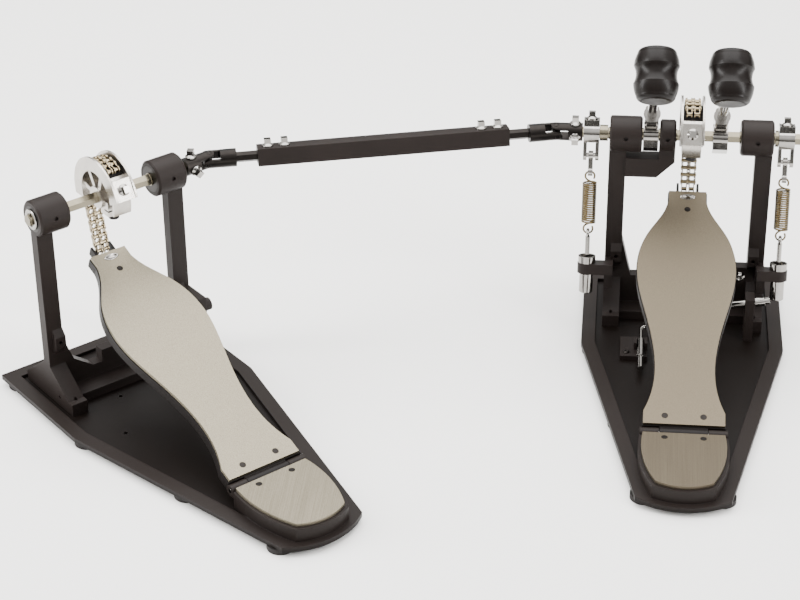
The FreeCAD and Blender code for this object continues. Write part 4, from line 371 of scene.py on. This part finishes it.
# a round tube: each ring lies square to the line, its zero carried on from ring to ring by the least turn
def tube(line, radius, sides):
    way = np.gradient(line, axis=0)
    way /= np.linalg.norm(way, axis=1, keepdims=True)
    slant = [0.3, 1, 0.2]  # any direction that the line doesn't start in
    side = np.zeros_like(way)
    side[0] = np.cross(way[0], slant)
    side[0] /= np.linalg.norm(side[0])
    for k in range(1, len(way)):  # along the line only, the rings are whole arrays
        side[k] = side[k - 1] - way[k] * (side[k - 1] @ way[k])
        side[k] /= np.linalg.norm(side[k])
    other = np.cross(way, side)
    turn = np.linspace(0, 2 * np.pi, sides, endpoint=False)
    ring = np.cos(turn)[None, :, None] * side[:, None] + np.sin(turn)[None, :, None] * other[:, None]
    taper = np.ones(len(line))
    taper[[0, -1]] = 0  # both ends close to a point
    return line[:, None] + ring * (radius * taper)[:, None, None]


# the wound spring leans from its link on the rocker down to the eyebolt, and stretches between the two
def springPiece(side):
    line, length = springLine()
    tilt = math.atan2(spring["eyeReach"], spring["eyeDrop"])
    down = np.array([0, -math.sin(tilt), -math.cos(tilt)])
    back = np.array([0, math.cos(tilt), -math.sin(tilt)])
    start = axle + [spring[side], 0, 0] + down * spring["hang"]
    placed = start + line[:, :1] * [1, 0, 0] + line[:, 1:2] * back - line[:, 2:] * down
    piece = gridPiece(side + "WoundSpring", tube(placed, spring["wire"], spring["sides"]) * mm, springMetal)
    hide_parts(side + "_spring")
    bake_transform(piece)


springPiece("right")
springPiece("left")
print("springs wound")

hinge = {"reach": 222.5, "height": 19.5, "incline": 22.395, "rise": 5.5, "toeEdge": 249.8}


# the main pedal stands where the frame has it
def toMain(points):
    return points


# from the main pedal's own place to the slave's: turned about the upright, then moved
def toSlave(points):
    turn = math.radians(slave["yaw"])
    x, y, z = points[..., 0], points[..., 1], points[..., 2]
    return np.stack([x * math.cos(turn) - y * math.sin(turn),
                     x * math.sin(turn) + y * math.cos(turn), z], -1) + slave["foot"]


# from the footboard's flat, along its length, to its incline about the heel hinge
def onBoard(points):
    turn = math.radians(hinge["incline"])
    x, y, z = points[..., 0], points[..., 1], points[..., 2] + hinge["rise"]
    return np.stack([x, y * math.cos(turn) - z * math.sin(turn) - hinge["reach"],
                     y * math.sin(turn) + z * math.cos(turn) + hinge["height"]], -1)


# a turned shape: pairs of radius and height carried once round the upright, x = r cos t, y = r sin t;
# a shut one has both ends of its profile drawn in to the middle
def turned(profile, steps=32, shut=True):
    radius, height = np.array(profile, float).T
    if shut:
        radius, height = np.pad(radius, 1), np.pad(height, 1, mode="edge")
    turn = np.linspace(0, 2 * np.pi, steps, endpoint=False)
    return np.stack([radius[:, None] * np.cos(turn), radius[:, None] * np.sin(turn),
                     np.broadcast_to(height[:, None], (len(radius), steps))], -1)


# profile in shares of the half length and width, with the lift above the board in mm
inset = {"fromToe": 6.2, "halfLong": 6.6, "halfWide": 2.9, "steps": 40,
         "profile": [(0.72, 0.12), (0.78, 0.42), (0.92, 0.45), (1.0, 0.3), (1.0, -0.2)]}


# oval inset near the toe: x = a k cos t, y = b k sin t, with k from the middle out,
# a raised rim and a flat middle
def toeInset(name, body, place):
    oval = turned(inset["profile"], inset["steps"]) * [inset["halfLong"], inset["halfWide"], 1]
    points = onBoard(oval + [0, hinge["toeEdge"] - inset["fromToe"], 0])
    piece = gridPiece(name, place(points)[::-1] * mm, chrome)
    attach(piece, body)


toeInset("mainToeInset", "main_footboard", toMain)
toeInset("slaveToeInset", "slave_footboard", toSlave)

camBolt = {"place": (0, -9.5, 164), "radius": 4.4, "length": 5.0, "round": 0.7, "roundMiddle": 0.3,
           "mouth": 0.55, "socket": 0.5, "socketDepth": 1.2}  # mouth and socket as shares of the radius


# black bolt head under the cam's clamp block: a short drum with a rounded lower edge and a shallow socket
def camBoltHead(name, body, place):
    radius, length, edge = camBolt["radius"], camBolt["length"], camBolt["round"]
    cut, socketTop = camBolt["roundMiddle"] * edge, camBolt["socketDepth"] - length
    profile = [(radius, 0), (radius, edge - length), (radius - cut, cut - length), (radius - edge, -length),
               (radius * camBolt["mouth"], -length), (radius * camBolt["socket"], socketTop)]
    piece = gridPiece(name, place(turned(profile) + camBolt["place"])[::-1] * mm, rubber)
    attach(piece, body)


camBoltHead("mainCamBolt", "main_axle", toMain)
camBoltHead("slaveCamBolt", "slave_axle", toSlave)

# the painted shade strip under the chain: radii and half width in mm, the ends of its arc in degrees
chainShade = {"inner": 25.62, "outer": 25.95, "half": 8.1, "from": -12, "to": 124, "steps": 48}


# dark strip under the chain, a sheet of painted shade for the dark gaps between its links:
# a flat band bent round the axle, y = r cos t, z = r sin t, both ends drawn shut
def chainShadeStrip(name, body, place):
    turn = np.radians(np.linspace(chainShade["from"], chainShade["to"], chainShade["steps"]))[:, None]
    inner, outer, half = chainShade["inner"], chainShade["outer"], chainShade["half"]
    x, radius = np.array([(-half, inner), (half, inner), (half, outer), (-half, outer)]).T
    band = np.stack(np.broadcast_arrays(x, radius * np.cos(turn), radius * np.sin(turn)), -1) + axle
    first, last = (np.broadcast_to(band[k].mean(0), (1, 4, 3)) for k in (0, -1))
    piece = gridPiece(name, place(np.concatenate([first, band, last])) * mm, rubber)
    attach(piece, body)


chainShadeStrip("mainChainShade", "main_axle", toMain)
chainShadeStrip("slaveChainShade", "slave_axle", toSlave)

clipScrew = {"place": (-47.5, -85.3, 10), "radius": 2.9, "rise": 1.5, "sink": 0.1, "capTo": 62, "capSteps": 8,
             "drive": 1.3, "driveFloor": 0.4}


# pan head on the key clip: a flattened sphere cap r = R cos t, z = h sin t,
# with a round drive sunk in its middle
def clipScrewHead():
    turn = np.radians(np.linspace(0, clipScrew["capTo"], clipScrew["capSteps"]))
    cap = np.stack([clipScrew["radius"] * np.cos(turn), clipScrew["rise"] * np.sin(turn)], -1)
    drive = [(clipScrew["drive"], cap[-1, 1]), (clipScrew["drive"], clipScrew["driveFloor"])]
    profile = np.concatenate([[(clipScrew["radius"], -clipScrew["sink"])], cap, drive])
    piece = gridPiece("clipScrewHead", (turned(profile) + clipScrew["place"]) * mm, darkSteel)
    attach(piece, "frame")


clipScrewHead()

beamBolt = {"place": (49, -5, 43), "washer": 4.8, "thick": 1.1, "sink": 0.1, "head": 3.2, "rise": 3.4,
            "socket": 1.7, "edge": 0.4}


# washer and socket head on the front of the main beam: one stepped profile turned about the y axis
def beamBoltHead():
    washer, thick, head = beamBolt["washer"], beamBolt["thick"], beamBolt["head"]
    rise, socket, edge = beamBolt["rise"], beamBolt["socket"], beamBolt["edge"]
    profile = [(washer, -beamBolt["sink"]), (washer, thick - edge), (washer - edge, thick), (head, thick),
               (head, rise - edge), (head - edge, rise), (socket, rise), (socket, thick)]
    upright = turned(profile)
    points = np.stack([upright[..., 0], -upright[..., 2], upright[..., 1]], -1) + beamBolt["place"]
    piece = gridPiece("beamBoltHead", points * mm, chrome)
    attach(piece, "frame")


beamBoltHead()

endWasher = {"start": -69.6, "end": -71.0, "outer": 8.8, "inner": 5.5, "edge": 0.35, "steps": 48}


# bright washer round the free end of the slave shaft: a square ring turned about the axle
def shaftWasher():
    start, end, outer, inner, edge = (endWasher[key] for key in ("start", "end", "outer", "inner", "edge"))
    profile = [(inner, start), (outer, start), (outer, end + edge), (outer - edge, end), (inner, end)]
    upright = turned(profile, endWasher["steps"], shut=False)
    points = np.stack([upright[..., 2], upright[..., 0], upright[..., 1]], -1) + axle
    piece = gridPiece("slaveShaftWasher", toSlave(points)[::-1] * mm, chrome, aroundRows=True)
    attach(piece, "slave_axle")


shaftWasher()
print("small trim placed")

# the photograph's view as solved: focal length in pixels, place in mm, turns in degrees, clipping in metres
view = {"focal": 2313.8, "pixels": 800, "sensor": 36, "place": (-67.35, -1785.0, 1072.41),
        "yaw": 5.905, "pitch": 30.831, "roll": -0.636, "near": 0.05, "far": 30}


# Blender's camera looks down its own -z: columns of the matrix are right, up and back
def aimCamera():
    yaw, pitch, roll = (math.radians(view[key]) for key in ("yaw", "pitch", "roll"))
    forward = np.array([-math.sin(yaw) * math.cos(pitch), math.cos(yaw) * math.cos(pitch), -math.sin(pitch)])
    right = np.array([math.cos(yaw), math.sin(yaw), 0])
    up = np.cross(right, forward)
    right, up = math.cos(roll) * right + math.sin(roll) * up, math.cos(roll) * up - math.sin(roll) * right
    data = bpy.data.cameras.new("photoCamera")
    data.sensor_width = view["sensor"]
    data.lens = view["focal"] * view["sensor"] / view["pixels"]
    data.clip_start, data.clip_end = view["near"], view["far"]
    camera = bpy.data.objects.new("photoCamera", data)
    bpy.context.collection.objects.link(camera)
    matrix = np.eye(4)
    matrix[:3, :3] = np.stack([right, up, -forward], 1)
    matrix[:3, 3] = np.array(view["place"]) * mm
    camera.matrix_world = Matrix(matrix.tolist())
    bpy.context.scene.camera = camera


aimCamera()

# half the floor's width in metres, cloud size and drop in mm;
# the sky goes from the ground's colour to the ceiling's between low and high
studio = {"floor": "#f4f3f1", "cloud": "#f1f0ee", "cloudSize": 700, "rough": 0.9, "half": 10.0, "lines": 5,
          "drop": 0.2, "ground": "#3a3937", "ceiling": "#fdfcfa", "low": 0.1, "high": 0.65, "sky": 1.9}


# plain pale floor, a flat grid in x and y just under the feet
def studioFloor():
    material, tree, shader, place = begin("studio floor", Roughness=studio["rough"])
    cloud = add(tree, "ShaderNodeTexNoise", {"Vector": place, "Scale": perMm(studio["cloudSize"])})
    tone = add(tree, "ShaderNodeMix", {
        mixBy: cloud.outputs[0], colourA: linear(studio["floor"]), colourB: linear(studio["cloud"])},
        data_type="RGBA")
    tree.links.new(tone.outputs[colourOut], shader.inputs["Base Color"])
    line = np.linspace(-studio["half"], studio["half"], studio["lines"])
    x, y = np.meshgrid(line, line, indexing="xy")
    points = np.stack([x, y, np.full_like(x, -studio["drop"] * mm)], -1)
    piece = gridPiece("studioFloor", points, material, aroundColumns=False)


studioFloor()

# soft boxes: place, aim and size in metres, power in watts
lamps = [
    {"name": "topBox", "place": (-0.2, 0.4, 1.9), "aim": (-0.2, 0.2, 0), "size": (2.3, 2.3), "power": 92},
    {"name": "leftStrip", "place": (-2.0, -0.55, 1.0), "aim": (-0.2, 0, 0.15), "size": (1.9, 0.5), "power": 62},
    {"name": "rightStrip", "place": (1.5, -0.95, 1.0), "aim": (-0.1, 0, 0.15), "size": (1.9, 0.4), "power": 44},
]
across = [0, 1, 0.01]  # each lamp's width lies square to this
for lamp in lamps:
    data = bpy.data.lights.new(lamp["name"], "AREA")
    data.shape = "RECTANGLE"
    data.size, data.size_y = lamp["size"]
    data.energy = lamp["power"]
    light = bpy.data.objects.new(lamp["name"], data)
    bpy.context.collection.objects.link(light)
    toward = np.array(lamp["aim"]) - np.array(lamp["place"])
    axisZ = -toward / np.linalg.norm(toward)
    axisX = np.cross(across, axisZ)
    axisX /= np.linalg.norm(axisX)
    matrix = np.eye(4)
    matrix[:3, :3] = np.stack([axisX, np.cross(axisZ, axisX), axisZ], 1)
    matrix[:3, 3] = lamp["place"]
    light.matrix_world = Matrix(matrix.tolist())

# the room: dim near the ground, pale above, so that bright metal has something to mirror
world = bpy.data.worlds.new("studioWorld")
bpy.context.scene.world = world
world.use_nodes = True
room = world.node_tree
background = room.nodes["Background"]
ray = add(room, "ShaderNodeTexCoord").outputs["Generated"]
spot = add(room, "ShaderNodeSeparateXYZ", {"Vector": ray})
rise = add(room, "ShaderNodeMapRange", {
    "Value": spot.outputs["Z"], "From Min": studio["low"], "From Max": studio["high"]})
tone = add(room, "ShaderNodeMix", {
    mixBy: rise.outputs[0], colourA: linear(studio["ground"]), colourB: linear(studio["ceiling"])},
    data_type="RGBA")
room.links.new(tone.outputs[colourOut], background.inputs["Color"])
background.inputs["Strength"].default_value = studio["sky"]
print("studio lit")
